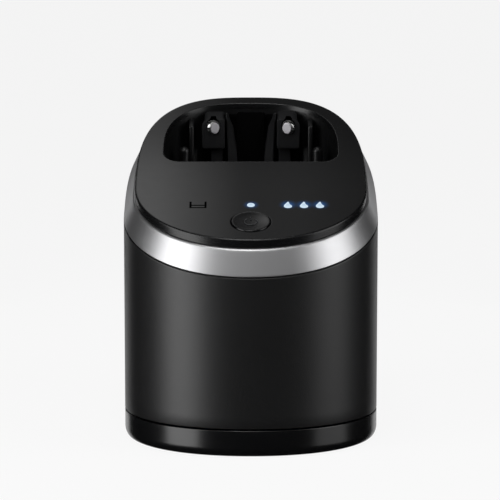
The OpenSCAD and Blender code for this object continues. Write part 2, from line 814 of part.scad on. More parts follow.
module chassis() {
    at_station() color("#232326") difference() {
        union() {
            prism(chassis_inset, chassis_bottom, chassis_top);
            both_sides() post(rod_side, rod_back, rod_r + 2.2, chassis_bottom, chassis_top + 7);
            both_sides() block(plate_w / 2 + slide_gap, plate_w / 2 + slide_gap + 1.5,
                dish_back + 11, button_front_y(), chassis_top - cut, plate_top);
            block(-plate_w / 2 - 2.3, plate_w / 2 + 2.3, spring_wall(), spring_wall() + 2,
                chassis_top - cut, lift_button_z + 4);
        }
        // the bridge's underpass for the latch plate
        block(-plate_w / 2 - slide_gap, plate_w / 2 + slide_gap, spring_wall() - cut, spring_wall() + 2 + cut,
            chassis_top, plate_top + slide_gap);
        both_sides() post(rod_side, rod_back, rod_r, chassis_bottom - cut, chassis_top + 8);
        block(-post_w / 2 - 0.6, post_w / 2 + 0.6, post_back - post_d - post_head - 0.6, post_back + 0.6,
            chassis_bottom - cut, chassis_top + cut);
        post(0, dish_back, drain_r + 0.1, chassis_bottom - cut, chassis_top + cut);
        post(suction_x, suction_y, tube_r + 0.1, chassis_bottom - cut, chassis_top + cut);
        for (p = cover_screws) post(p.x, p.y, screw_r + 0.15, chassis_bottom - cut, chassis_top + cut);
        for (p = pump_screw_places()) post(p.x, p.y, screw_r + fit_gap, chassis_bottom - cut, chassis_top + cut);
    }
}

function spring_wall() = rear_depth - 20.5;
function button_front_y() = rear_depth - 9.5;

module cover_screws() {
    at_station() color("silver") for (p = cover_screws) translate([p.x, p.y, chassis_bottom]) screw(chassis_t + 10);
}

module latch_plate() {
    at_station() color("#c4c6c8") translate([0, 0, plate_level]) linear_extrude(latch_t) difference() {
        translate([-plate_w / 2, plate_front]) square([plate_w, button_front_y() + 4 - plate_front]);
        translate([-window_w / 2, window_front])
            square([window_w, post_d + post_head + 4 * slide_gap + lift_button_travel]);
        translate([-drain_r - 1.4, dish_back - drain_r - 1]) square([2 * drain_r + 2.8, 2 * drain_r + 2 + lift_button_travel]);
    }
}

module lift_button() {
    at_station() color("#1a1a1c") intersection() {
        prism(0.2, plate_top, plate_top + lift_button_h);
        block(-lift_button_w / 2, lift_button_w / 2, button_front_y(), reach, plate_top, plate_top + lift_button_h);
    }
}

// Drawn at its pressed length, so the button has room to travel
module lift_button_spring() {
    at_station() color("#b9bbbd") difference() {
        along_y(0, spring_wall() + 2 + lift_button_travel + 0.3, button_front_y(), lift_button_z, 3);
        along_y(0, spring_wall(), button_front_y() + cut, lift_button_z, 2.2);
    }
}

// ---- pump ----

function involute(angle) = tan(angle) * 180 / PI - angle;

function tooth_half(r) =
    let (base_r = gear_r * cos(gear_pressure), angle = acos(min(1, base_r / r)))
    90 / gear_teeth - gear_slack + involute(gear_pressure) - involute(angle);

function polar(r, angle) = [r * cos(angle), r * sin(angle)];

function gear_outline() =
    let (flank_r = gear_r * cos(gear_pressure),
         radii = [for (k = [0:flank_steps]) flank_r + (gear_tip_r - flank_r) * k / flank_steps])
    [for (tooth = [0:gear_teeth - 1]) each let (middle = 360 * tooth / gear_teeth) concat(
        [polar(gear_root_r, middle - tooth_half(flank_r))],
        [for (r = radii) polar(r, middle - tooth_half(r))],
        [for (k = [flank_steps:-1:0]) polar(radii[k], middle + tooth_half(radii[k]))],
        [polar(gear_root_r, middle + tooth_half(flank_r))])];

module pump_gear(y, turn, bore) {
    at_station() color("#d9d6cc") translate([motor_x, y, chamber_bottom + gear_gap]) difference() {
        rotate(turn) linear_extrude(chamber_h - 2 * gear_gap) polygon(gear_outline());
        translate([0, 0, -cut]) cylinder(r = bore, h = chamber_h + 1);
    }
}

module pump_drive_gear() {
    pump_gear(motor_y, 90, shaft_r + contact);
}

module pump_idler_gear() {
    pump_gear(idler_y, 270 + 180 / gear_teeth, idler_pin_r + fit_gap);
}

function pump_screw_places() = [for (side = [-1, 1], y = [motor_y - pump_screw_reach, pump_back - screw_head_r])
    [motor_x + side * pump_screw_reach, y]];

// A tube along +x
module along_x(x_from, x_to, y, z, r) {
    translate([x_from, y, z]) rotate([0, 90, 0]) cylinder(r = r, h = x_to - x_from);
}

// The inlet and the outlet are on either side of the line where the gears meet
module pump_housing() {
    at_station() color("#2e3033") difference() {
        block(pump_left, pump_right, pump_from, pump_back, chassis_top, chamber_top);
        for (y = [motor_y, idler_y]) post(motor_x, y, gear_tip_r + gear_gap, chamber_bottom, chamber_top + cut);
        post(motor_x, idler_y, idler_pin_r + contact, chassis_top + 1, chamber_bottom + cut);
        along_x(pump_left - cut, pump_right + cut, mesh_y, port_z, tube_bore_r);
        along_x(pump_left - cut, pump_left + port_depth, mesh_y, port_z, tube_r + contact);
        along_x(pump_right - port_depth, pump_right + cut, mesh_y, port_z, tube_r + contact);
        for (p = pump_screw_places()) post(p.x, p.y, screw_r + fit_gap, chassis_top - cut, chamber_top + cut);
    }
}

module pump_cover() {
    at_station() color("#3a3d40") difference() {
        block(pump_left, pump_right, pump_from, pump_back, chamber_top, pump_cover_top);
        post(motor_x, motor_y, shaft_r + fit_gap, chamber_top - cut, pump_cover_top + cut);
        for (p = pump_screw_places()) post(p.x, p.y, screw_r + fit_gap, chamber_top - cut, pump_cover_top + cut);
    }
}

module idler_pin() {
    at_station() color("silver") post(motor_x, idler_y, idler_pin_r, chassis_top + 1, chamber_top - 0.1);
}

module motor_shaft() {
    at_station() color("silver") post(motor_x, motor_y, shaft_r, chamber_bottom + gear_gap, motor_bottom + 5);
}

module motor_bracket() {
    at_station() color("#a9abae") difference() {
        union() {
            block(pump_left, pump_right, pump_from, pump_back, pump_cover_top, motor_bottom);
            post(motor_x, motor_y, motor_r + bracket_wall, pump_cover_top, motor_bottom + 6);
        }
        post(motor_x, motor_y, motor_r + contact, motor_bottom, motor_bottom + 7);
        post(motor_x, motor_y, shaft_r + 0.6, pump_cover_top - cut, motor_bottom + cut);
        for (p = pump_screw_places()) post(p.x, p.y, screw_r + fit_gap, pump_cover_top - cut, motor_bottom + cut);
    }
}

module pump_motor() {
    at_station() color("#8f9194") difference() {
        union() {
            post(motor_x, motor_y, motor_r, motor_bottom, motor_bottom + motor_l);
            post(motor_x, motor_y, 3, motor_bottom + motor_l - cut, motor_bottom + motor_l + 1.5);
        }
        post(motor_x, motor_y, shaft_r + fit_gap, motor_bottom - cut, motor_bottom + 6);
    }
}

// They hold the bracket, the pump's cover and its housing to the chassis
module pump_screws() {
    at_station() color("silver") for (p = pump_screw_places())
        translate([p.x, p.y, motor_bottom]) mirror([0, 0, 1]) screw(motor_bottom - chassis_bottom - 0.3);
}

module elbow(r) {
    rotate_extrude(angle = 90) translate([elbow_r, 0]) circle(r = r);
}

// From the pump's left side back and down to the cartridge's port
module suction_run(r, extra) {
    turn_y = suction_y - elbow_r;
    along_x(suction_x + elbow_r - contact, pump_left + port_depth + extra, mesh_y, port_z, r);
    translate([suction_x + elbow_r, mesh_y + elbow_r, port_z]) rotate(180) elbow(r);
    along_y(suction_x, mesh_y + elbow_r - contact, turn_y + contact, port_z, r);
    translate([suction_x, turn_y, port_z - elbow_r]) rotate([0, -90, 0]) elbow(r);
    post(suction_x, suction_y, r, nozzle_bottom - extra, port_z - elbow_r + contact);
}

module suction_tube() {
    at_station() color("#cfd3d6") difference() {
        suction_run(tube_r, 0);
        suction_run(tube_bore_r, cut);
    }
}

// From the pump's right side up and back, through the front wall of the dish
module feed_run(r, extra) {
    turn_z = feed_level - elbow_r;
    along_x(pump_right - port_depth - extra, feed_x, mesh_y, port_z, r);
    translate([feed_x, mesh_y, port_z]) sphere(r = r);
    post(feed_x, mesh_y, r, port_z, turn_z + contact);
    translate([feed_x, mesh_y + elbow_r, turn_z]) mirror([0, 1, 0]) rotate([0, -90, 0]) elbow(r);
    along_y(feed_x, mesh_y + elbow_r - contact, dish_back - dish_r + 1.5 + extra, feed_level, r);
}

module feed_tube() {
    at_station() color("#cfd3d6") difference() {
        feed_run(tube_r, 0);
        feed_run(tube_bore_r, cut);
    }
}

// ---- electronics and controls ----

module board_shape() {
    front = board_half - board_corner;
    polygon([[-board_half, board_rear_y], [board_half, board_rear_y], [board_half, board_shoulder_y],
             [front, board_front_y], [-front, board_front_y], [-board_half, board_shoulder_y]]);
}

module control_board() {
    at_station() color("#1f5a34") on_panel(0, 0) translate([0, 0, -board_depth - board_t]) difference() {
        linear_extrude(board_t) scale([1, 1 / cos(panel_tilt)]) board_shape();
        for (p = board_screws)
            translate([p.x, p.y / cos(panel_tilt), -cut]) cylinder(r = board_screw_r + 0.2, h = board_t + 1);
    }
}

module board_screws() {
    at_station() color("silver") for (p = board_screws)
        on_panel(p.x, p.y) translate([0, 0, -board_depth - board_t]) {
            cylinder(r = board_screw_r, h = 5);
            translate([0, 0, -1]) cylinder(r = 2, h = 1);
        }
}

module start_switch() {
    at_station() color("#2a2a2a") on_panel(0, button_y) translate([0, 0, -board_depth]) {
        translate([-switch_side / 2, -switch_side / 2, 0]) cube([switch_side, switch_side, switch_h]);
        cylinder(r = 1.6, h = switch_h + plunger_h);
    }
}

module status_leds() {
    led = [3, 2, 1.2];
    at_station() color("#f2f2e6") for (x = [-mark_from, 0, drop_from, drop_from + drop_pitch, drop_from + 2 * drop_pitch])
        on_panel(x, -indicator_front) translate([-led.x / 2, -led.y / 2, -board_depth]) cube(led);
}

module dot_light_guide() {
    at_station() color("#cfe6ff") on_panel(0, -indicator_front) translate([0, 0, 1.3 - board_depth])
        cylinder(r = dot_r, h = board_depth - 1.3);
}

module drop_light_guides() {
    at_station() color("#cfe6ff") for (i = [0:2]) on_panel(drop_from + i * drop_pitch, -indicator_front - drop_tip / 3)
        translate([0, 0, 1.3 - board_depth]) linear_extrude(board_depth - 1.3) drop_shape(0);
}

module cartridge_mark() {
    at_station() color("#000000") on_panel(-mark_from, -indicator_front) translate([0, 0, -mark_t()])
        linear_extrude(mark_t()) mark_shape(0);
}

module start_button() {
    stem_bottom = -board_depth + switch_h + plunger_h + stem_gap;
    at_station() color("#121214") on_panel(0, button_y) {
        difference() {
            union() {
                translate([0, 0, -button_cap_t]) cylinder(r = button_r, h = button_cap_t + button_proud);
                translate([0, 0, -button_cap_t - 1.3]) cylinder(r = button_flange_r, h = 1.2);
                translate([0, 0, -button_cap_t - 1]) cylinder(r = button_r, h = 2);
                translate([0, 0, stem_bottom]) cylinder(r = 2.4, h = -stem_bottom - 1);
            }
            // the dished face
            translate([0, 0, button_proud - button_dish + dish_ball_r()]) sphere(r = dish_ball_r(), $fn = 96);
        }
        // the raised on-off mark: a broken ring and a bar
        translate([0, 0, button_proud - button_dish - 0.3]) {
            rotate(125) rotate_extrude(angle = 290) translate([2.9, 0]) square([0.7, 0.55]);
            translate([-0.35, 1.2, 0]) cube([0.7, 2.8, 0.6]);
        }
    }
}

// A ball that cuts a dish of the set depth, a little inside the button's rim
function dish_ball_r() = (pow(button_r - 0.8, 2) + pow(button_dish, 2)) / (2 * button_dish);

// The socket's mouth is flush with the body's rear
module power_inlet() {
    socket_w = inlet_w - 5;
    socket_h = inlet_h - 4;
    floor_y = rear_depth - socket_depth;
    at_station() color("#0c0c0d") difference() {
        intersection() {
            block(-inlet_w / 2, inlet_w / 2, floor_y - socket_t, reach, inlet_z - inlet_h / 2, inlet_z + inlet_h / 2);
            prism(0.3, inlet_z - inlet_h, inlet_z + inlet_h);
        }
        hull() for (side = [-1, 1])
            along_y(side * (socket_w - socket_h) / 2, floor_y, reach, inlet_z, socket_h / 2);
        for (side = [-1, 1])
            along_y(side * inlet_pin_pitch / 2, floor_y - socket_t - cut, floor_y + cut, inlet_z, inlet_root_r + contact);
    }
}

module inlet_pins() {
    floor_y = rear_depth - socket_depth;
    at_station() color("#d5d7da") both_sides() {
        along_y(inlet_pin_pitch / 2, floor_y, floor_y + inlet_pin_l, inlet_z, inlet_pin_r);
        along_y(inlet_pin_pitch / 2, floor_y - socket_t - 2, floor_y, inlet_z, inlet_root_r);
    }
}

base_tray();
base_plate();
base_screws();
rubber_feet();
guide_rods();
lift_springs();
latch_post();
cartridge_tub();
cartridge_lid();
cartridge_filter();
housing_shell();
trim_ring();
top_cover();
cover_gasket();
cavity_liner();
contact_bracket();
contact_pin_left();
contact_pin_right();
contact_springs();
contact_terminals();
wash_dish();
dish_gasket();
drain_spout();
nozzle_seals();
chassis();
cover_screws();
latch_plate();
lift_button();
lift_button_spring();
pump_housing();
pump_cover();
pump_drive_gear();
pump_idler_gear();
idler_pin();
motor_shaft();
pump_motor();
motor_bracket();
pump_screws();
suction_tube();
feed_tube();
control_board();
board_screws();
start_switch();
status_leds();
dot_light_guide();
drop_light_guides();
cartridge_mark();
start_button();
power_inlet();
inlet_pins();
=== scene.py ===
import math

import bpy
import bmesh
import numpy as np
from bpy.props import FloatProperty, FloatVectorProperty, IntProperty, PointerProperty
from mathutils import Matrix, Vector
from mathutils.geometry import delaunay_2d_cdt


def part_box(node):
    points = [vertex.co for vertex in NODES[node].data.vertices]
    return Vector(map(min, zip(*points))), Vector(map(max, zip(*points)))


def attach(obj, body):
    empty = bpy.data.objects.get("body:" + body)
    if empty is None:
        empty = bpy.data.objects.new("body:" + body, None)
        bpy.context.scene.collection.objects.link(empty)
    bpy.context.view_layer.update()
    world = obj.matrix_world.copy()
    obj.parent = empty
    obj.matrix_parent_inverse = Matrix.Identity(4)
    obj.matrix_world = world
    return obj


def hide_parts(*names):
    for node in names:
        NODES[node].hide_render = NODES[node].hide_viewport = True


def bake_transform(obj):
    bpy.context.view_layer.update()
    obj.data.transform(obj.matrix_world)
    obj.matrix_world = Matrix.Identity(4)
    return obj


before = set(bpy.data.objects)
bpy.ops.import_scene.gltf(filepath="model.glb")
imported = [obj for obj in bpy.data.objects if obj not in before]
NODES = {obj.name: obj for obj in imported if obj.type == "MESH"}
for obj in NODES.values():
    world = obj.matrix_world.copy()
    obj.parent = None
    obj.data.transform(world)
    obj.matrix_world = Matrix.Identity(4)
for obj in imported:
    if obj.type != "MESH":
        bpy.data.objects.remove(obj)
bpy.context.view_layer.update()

bl_info = {
    "name": "Shaver cleaning station",
    "version": (1, 0, 0),
    "blender": (4, 5, 0),
    "location": "3D View > Sidebar > Station",
    "description": "Dresses a desktop station that washes, dries and charges a shaver",
    "category": "Object",
}


# ---- settings ----

def length(name, description, default):
    return FloatProperty(name=name, description=description, default=default, unit="LENGTH", precision=5)


def number(name, description, default):
    return FloatProperty(name=name, description=description, default=default)


def colour(name, description, default):
    return FloatVectorProperty(name=name, description=description, default=default, subtype="COLOR",
                               min=0, max=1)


def tilt(name, description, default):
    return FloatProperty(name=name, description=description, default=math.radians(default), subtype="ANGLE")


class StationBody(bpy.types.PropertyGroup):
    """Sizes of the outer body, the same as the solids have."""

    half_width: length("Half width", "Half the width at the widest station", 0.066)
    front_depth: length("Front depth", "Depth in front of the widest station", 0.0585)
    rear_depth: length("Rear depth", "Depth behind the widest station", 0.0995)
    front_round: number("Front exponent", "Exponent of the front half of the outline", 2.12)
    rear_round: number("Rear exponent", "Exponent of the rear half of the outline", 2.9)
    wall: length("Wall", "Wall of the housing shell", 0.0025)
    foot_out: length("Foot height", "Height of the feet below the base", 0.0005)
    deck: length("Deck height", "Height of the base's deck", 0.0142)
    undercut: length("Undercut", "How far the rounded undercut draws in", 0.003)
    undercut_height: length("Undercut height", "Height over which the undercut rounds out", 0.005)
    groove_height: length("Groove height", "Height of the dark groove between two pieces", 0.0008)
    groove_depth: length("Groove depth", "Depth of that groove", 0.0009)
    steps: IntProperty(name="Steps", description="Points round the outline", default=384)


class StationTop(bpy.types.PropertyGroup):
    """Planes and walls of the ring and the panel."""

    panel_level: length("Panel level", "Height of the panel's plane at the widest station", 0.1314)
    panel_tilt: tilt("Panel slope", "Slope of the panel", 21)
    ring_top: length("Ring top", "Height of the ring's top edge at the widest station", 0.1272)
    ring_top_tilt: tilt("Ring top slope", "Slope of the ring's top edge", 21.4)
    ring_low: length("Ring bottom", "Height of the ring's lower edge at the widest station", 0.1163)
    ring_low_tilt: tilt("Ring bottom slope", "Slope of the ring's lower edge", 21.7)
    ring_lean: length("Ring lean", "How far the ring leans in from bottom to top", 0.0049)
    cover_inset: length("Cover inset", "Inset of the cover's side from the outline", 0.0057)
    cover_wall: length("Cover wall", "Wall of the cover's side", 0.0021)
    panel_thickness: length("Panel thickness", "Thickness of the sloping panel", 0.0025)


class StationCavity(bpy.types.PropertyGroup):
    """Sizes of the shaver's cavity and its contacts."""

    half_width: length("Half width", "Half the width of the opening", 0.0462)
    front: length("Front edge", "Straight front edge, behind the widest station", 0.0242)
    rear: length("Rear edge", "Rear edge, behind the widest station", 0.0865)
    side: length("Side start", "Where the sides start to curve in", 0.038)
    corner: length("Corner radius", "Radius of the front corners", 0.009)
    bulge: number("Rear exponent", "Exponent of the opening's rear curve", 2.7)
    set_back: length("Set back", "How far the panel overhangs the liner", 0.0006)
    wall: length("Liner wall", "Wall of the liner", 0.002)
    floor: length("Floor", "Height of the liner's underside", 0.098)
    dish_back: length("Dish centre", "Distance of the dish behind the widest station", 0.051)
    mouth: length("Dish mouth", "Radius of the opening over the dish", 0.024)
    pin_side: length("Pin side", "Distance of a pin from the middle", 0.0204)
    pin_level: length("Pin height", "Height of the pins", 0.1527)
    pin_radius: length("Pin radius", "Radius of a contact pin", 0.0033)
    arm_front: length("Arm front", "Front face of the arms", 0.073)
    arm_rear: length("Arm rear", "Rear face of the bracket", 0.0815)


class StationControls(bpy.types.PropertyGroup):
    """Sizes of the button and the indicators."""

    button_radius: length("Button radius", "Radius of the start button", 0.010)
    button_front: length("Button place", "Distance in front of the widest station", 0.0358)
    button_gap: length("Button gap", "Gap round the buttons", 0.0003)
    button_dish: length("Button dish", "Depth of the dish in the button's face", 0.00055)
    button_proud: length("Button proud", "Height of the button's rim over the panel", 0.0005)
    row_front: length("Indicator row", "Distance of the row in front of the widest station", 0.0194)
    dot_radius: length("Dot radius", "Radius of the lit dot", 0.0019)
    drop_radius: length("Drop radius", "Radius of a drop's round end", 0.00205)
    drop_tip: length("Drop tip", "Length from a drop's centre to its tip", 0.0038)
    drop_from: length("First drop", "First drop's distance from the middle", 0.019)
    drop_pitch: length("Drop pitch", "Distance between two drops", 0.0082)
    mark_from: length("Mark place", "Distance of the cartridge mark from the middle", 0.0271)
    mark_width: length("Mark width", "Width of the cartridge mark", 0.0088)
    mark_depth: length("Mark depth", "Depth of the cartridge mark", 0.0066)


class StationFinish(bpy.types.PropertyGroup):
    """Colours of the finishes."""

    body_black: colour("Body black", "Grained black of the housing", (0.0070, 0.0070, 0.0074))
    gloss_black: colour("Gloss black", "Base band, panel and button", (0.0035, 0.0036, 0.0040))
    cavity_black: colour("Cavity black", "Liner and contact arms", (0.0030, 0.0031, 0.0034))
    silver: colour("Silver", "Satin ring", (0.58, 0.58, 0.59))
    window: colour("Window", "Bright part of a lit window", (0.70, 0.84, 0.96))
    window_heart: colour("Window heart", "Middle of a lit window", (0.44, 0.60, 0.78))
    window_edge: colour("Window edge", "Edge of a lit window", (0.30, 0.48, 0.74))
    halo: colour("Halo", "Glow round a lit window", (0.02, 0.26, 0.85))
    cartridge: colour("Cartridge", "Fluid cartridge", (0.020, 0.105, 0.33))
    lid: colour("Cartridge lid", "Lid of the cartridge", (0.012, 0.06, 0.22))


class StationStudio(bpy.types.PropertyGroup):
    """Camera and lamps."""

    distance: length("Camera distance", "From the camera to the middle of the object", 1.45)
    rise: tilt("Camera rise", "Height of the camera as an angle", 9.29)
    aim: length("Aim height", "Height of the point in the middle of the view", 0.0957)
    aside: length("Camera aside", "How far to the left the camera stands", 0.00045)
    lens: FloatProperty(name="Lens", description="Focal length for a 36 mm wide picture", default=199.0,
                        unit="CAMERA")
    left: number("Left softbox", "Radiance of the left softbox", 2.9)
    right_low: number("Right softbox, lower", "Radiance of the lower right softbox", 0.85)
    right_high: number("Right softbox, upper", "Radiance of the upper right softbox", 2.1)
    front: number("Front fill", "Radiance of the fill over the camera", 0.42)
    overhead: number("Overhead", "Radiance of the narrow overhead lamp", 1.6)
    edge: number("Edge strip", "Radiance of the small strip that lights the front edges", 6.0)
    room: number("Room", "Radiance of the dim room around the set", 0.006)
    paper: colour("Paper", "Floor and backdrop", (0.90, 0.90, 0.90))


SETTINGS = {
    "station_body": StationBody, "station_top": StationTop, "station_cavity": StationCavity,
    "station_controls": StationControls, "station_finish": StationFinish, "station_studio": StationStudio,
}


class Millimetres:
    """Reads a group of settings with its lengths turned from metres into millimetres."""

    def __init__(self, group):
        self.group = group

    def __getattr__(self, name):
        value = getattr(self.group, name)
        return 1000 * value if self.group.bl_rna.properties[name].unit == "LENGTH" else value


def sizes(name):
    return Millimetres(getattr(bpy.context.scene, "station_" + name))


# ---- curves and surfaces, in millimetres from the widest station ----

STATION_Y = -20.5
GUIDE_X, GUIDE_Y = 54, 8  # guide rods and lift springs
CARTRIDGE_FRONT = 29.5
KEY_LEVEL = 69.0  # height of the lift button's middle
INLET_LEVEL, INLET_FLOOR = 90.98, 86.0  # height of the power inlet's middle, and its floor's distance back


def place(points):
    """Turns millimetres from the widest station into metres from the body's bottom centre."""
    return (np.asarray(points, float) + (0, STATION_Y, 0)) / 1000


def point(x, y, z):
    return tuple(place([x, y, z]))


def power(base, exponent):
    """The base's sign times its size raised to the exponent."""
    return np.sign(base) * np.abs(base) ** exponent


def smooth(edge_from, edge_to, value):
    """0 before one edge, 1 after the other, and the cubic 3t^2 - 2t^3 between them."""
    t = np.clip((value - edge_from) / (edge_to - edge_from), 0, 1)
    return t * t * (3 - 2 * t)


def body_outline(angle, inset=0.0):
    """Plan of the body: x is the half width times the cosine to the power 2/n, y the front or
    rear depth times the sine to the power 2/n, each less the inset."""
    b = sizes("body")
    front = np.sin(angle) < 0
    depth = np.where(front, b.front_depth, b.rear_depth) - inset
    bend = 2 / np.where(front, b.front_round, b.rear_round)
    width = b.half_width - inset
    return np.stack([width * power(np.cos(angle), bend), depth * power(np.sin(angle), bend)], -1)


def even_angles(count, rear_x=()):
    """Angles at which the outline's points are evenly spaced, with the rear points at the given x added."""
    b = sizes("body")
    dense = np.linspace(0, 2 * np.pi, 40001)
    run = np.concatenate([[0], np.cumsum(np.linalg.norm(np.diff(body_outline(dense), axis=0), axis=1))])
    even = np.interp(np.linspace(0, run[-1], count, endpoint=False), run, dense)
    wanted = [math.acos(math.copysign((abs(x) / b.half_width) ** (b.rear_round / 2), x)) for x in rear_x]
    for w in wanted:
        even = even[np.abs(even - w) > 0.004]
    return np.sort(np.concatenate([even, wanted]))


def even_loop(points, count):
    """The same closed curve with its points evenly spaced."""
    closed = np.vstack([points, points[:1]])
    run = np.concatenate([[0], np.cumsum(np.linalg.norm(np.diff(closed, axis=0), axis=1))])
    at = np.linspace(0, run[-1], count, endpoint=False)
    return np.stack([np.interp(at, run, closed[:, k]) for k in (0, 1)], -1)


def loop_normals(loop):
    """Outward unit normals of a counter-clockwise closed curve."""
    along = np.roll(loop, -1, 0) - np.roll(loop, 1, 0)
    out = np.stack([along[:, 1], -along[:, 0]], -1)
    return out / np.maximum(np.linalg.norm(out, axis=1, keepdims=True), 1e-9)


def grow(loop, distance):
    """A closed curve moved outwards along its normals."""
    return loop + distance * loop_normals(loop)


def circle(x, y, radius, count=64):
    angle = np.linspace(0, 2 * np.pi, count, endpoint=False)
    return np.stack([x + radius * np.cos(angle), y + radius * np.sin(angle)], -1)


def rounded_rectangle(x_from, x_to, y_from, y_to, radius, count=96):
    """Four quarter circles joined by straight lines."""
    radius = min(radius, (x_to - x_from) / 2 - 1e-3, (y_to - y_from) / 2 - 1e-3)
    angle = np.linspace(0, 2 * np.pi, 51, endpoint=False)
    cx = np.where(np.cos(angle + 1e-6) > 0, x_to - radius, x_from + radius)
    cy = np.where(np.sin(angle + 1e-6) > 0, y_to - radius, y_from + radius)
    return even_loop(np.stack([cx + radius * np.cos(angle), cy + radius * np.sin(angle)], -1), count)


def cavity_outline(grown, count=288):
    """Opening of the cavity: a straight front with rounded corners, and half a superellipse behind."""
    c = sizes("cavity")
    rear = np.linspace(0, np.pi, 241)
    x = (c.half_width + grown) * power(np.cos(rear), 2 / c.bulge)
    y = c.side + (c.rear - c.side + grown) * power(np.sin(rear), 2 / c.bulge)
    quarter = np.linspace(0, np.pi / 2, 13)
    radius = c.corner + grown
    left = np.stack([-(c.half_width - c.corner) - radius * np.cos(quarter),
                     c.front + c.corner - radius * np.sin(quarter)], -1)
    right = left[::-1] * (-1, 1)
    return even_loop(np.vstack([np.stack([x, y], -1), left, right]), count)


def drop_outline(grown=0.0, count=72):
    """A circle joined to a small circle at the tip by their outer tangents, as the hull of both,
    with the right flank pinched by a half sine so that it is hollow."""
    k = sizes("controls")
    tip = np.array([0.05, k.drop_tip])
    big, small = k.drop_radius + grown, 0.3 + grown
    reach = np.linalg.norm(tip)
    lean = math.atan2(tip[1], tip[0])
    spread = math.acos((big - small) / reach)
    round_end = np.linspace(lean + spread, lean + 2 * np.pi - spread, 61)
    tip_end = np.linspace(lean - spread, lean + spread, 15)
    loop = even_loop(np.vstack([
        np.stack([big * np.cos(round_end), big * np.sin(round_end)], -1),
        tip + np.stack([small * np.cos(tip_end), small * np.sin(tip_end)], -1)]), count)
    pinch = 0.38 * np.sin(np.pi * np.clip(loop[:, 1] / k.drop_tip, 0, 1)) * (loop[:, 0] > 0)
    loop[:, 0] *= 1 - pinch
    return loop


def plane(level, slope):
    """Height of a sloping plane over a point in plan."""
    return lambda xy: level + math.tan(slope) * xy[..., 1]


def over(loop, height):
    """A plan curve at a height, which is a number or a function of the plan."""
    z = height(loop) if callable(height) else np.full(len(loop), float(height))
    return np.column_stack([loop, z])


def grid_faces(rows, cols, wrap_rows, wrap_cols):
    """Four-cornered faces between the points of a grid, which may close on itself either way."""
    i, j = np.meshgrid(np.arange(rows - (not wrap_rows)), np.arange(cols - (not wrap_cols)), indexing="ij")
    down, right = (i + 1) % rows, (j + 1) % cols
    return np.stack([i * cols + j, i * cols + right, down * cols + right, down * cols + j], -1).reshape(-1, 4)


def shell(rows, ends=True, ring=False, wrap=True):
    """A surface through rows of equally many points. It closes round each row, and its ends close
    on a pole in the middle of the first and last row, or the last row joins the first."""
    rows = np.asarray(rows, float)
    count, cols = rows.shape[:2]
    points = rows.reshape(-1, 3)
    faces = grid_faces(count, cols, ring, wrap).tolist()
    if ends and not ring:
        points = np.vstack([points, rows[0].mean(0), rows[-1].mean(0)])
        j = np.arange(cols)
        right = (j + 1) % cols
        faces += np.stack([right, j, np.full(cols, count * cols)], -1).tolist()
        last = (count - 1) * cols
        faces += np.stack([last + j, last + right, np.full(cols, count * cols + 1)], -1).tolist()
    return points, faces


def circles(profile, centre=(0, 0), count=96):
    """A level circle round an upright axis for each radius and height of a profile."""
    profile = np.asarray(profile, float)
    angle = np.linspace(0, 2 * np.pi, count, endpoint=False)
    return np.stack([centre[0] + profile[:, :1] * np.cos(angle), centre[1] + profile[:, :1] * np.sin(angle),
                     np.repeat(profile[:, 1:], count, 1)], -1)


def turned(profile, centre=(0, 0), count=96):
    """A profile turned round an upright axis. Its ends lie on the axis or close on it."""
    return shell(circles(profile, centre, count))


def upright(loop, y):
    """A curve of x and z stood up at a depth, which is a number or one number for each point."""
    return np.stack([loop[:, 0], np.broadcast_to(y, len(loop)), loop[:, 1]], -1)


def slab(loop, bottom, top, top_round=0.4, bottom_round=0.3):
    """A plan curve carried upwards, with its upper and lower edges rounded by quarter circles."""
    turn = np.linspace(0, np.pi / 2, 5)
    rows = [(bottom_round * (1 - np.sin(a)), bottom, bottom_round * (1 - np.cos(a))) for a in turn]
    rows += [(top_round * (1 - np.cos(a)), top, -top_round * (1 - np.sin(a))) for a in turn]
    return shell([np.column_stack([grow(loop, -inset), over(loop, height)[:, 2] + shift])
                  for inset, height, shift in rows])


def inside(loop, points):
    """Whether each point is inside a closed curve, by counting crossings."""
    a, b = loop, np.roll(loop, -1, 0)
    x, y = points[:, :1], points[:, 1:]
    crosses = (a[:, 1] > y) != (b[:, 1] > y)
    at = a[:, 0] + (y - a[:, 1]) * (b[:, 0] - a[:, 0]) / np.where(b[:, 1] == a[:, 1], 1e-12, b[:, 1] - a[:, 1])
    return (crosses & (x < at)).sum(1) % 2 == 1


def flat_face(outer, holes, height):
    """A flat region between an outer curve and its holes, in triangles, raised to a height over the plan."""
    loops = [outer, *holes]
    starts = np.cumsum([0] + [len(l) for l in loops[:-1]])
    edges = np.concatenate([np.stack([s + np.arange(len(l)), s + (np.arange(len(l)) + 1) % len(l)], -1)
                            for s, l in zip(starts, loops)])
    flat, _, triangles, *_ = delaunay_2d_cdt([Vector(p) for p in np.vstack(loops)], edges.tolist(), [], 0, 1e-7)
    flat, triangles = np.array([tuple(p) for p in flat]), np.array(triangles)
    middle = flat[triangles].mean(1)
    keep = inside(outer, middle)
    for hole in holes:
        keep &= ~inside(hole, middle)
    return over(flat, height), triangles[keep].tolist()


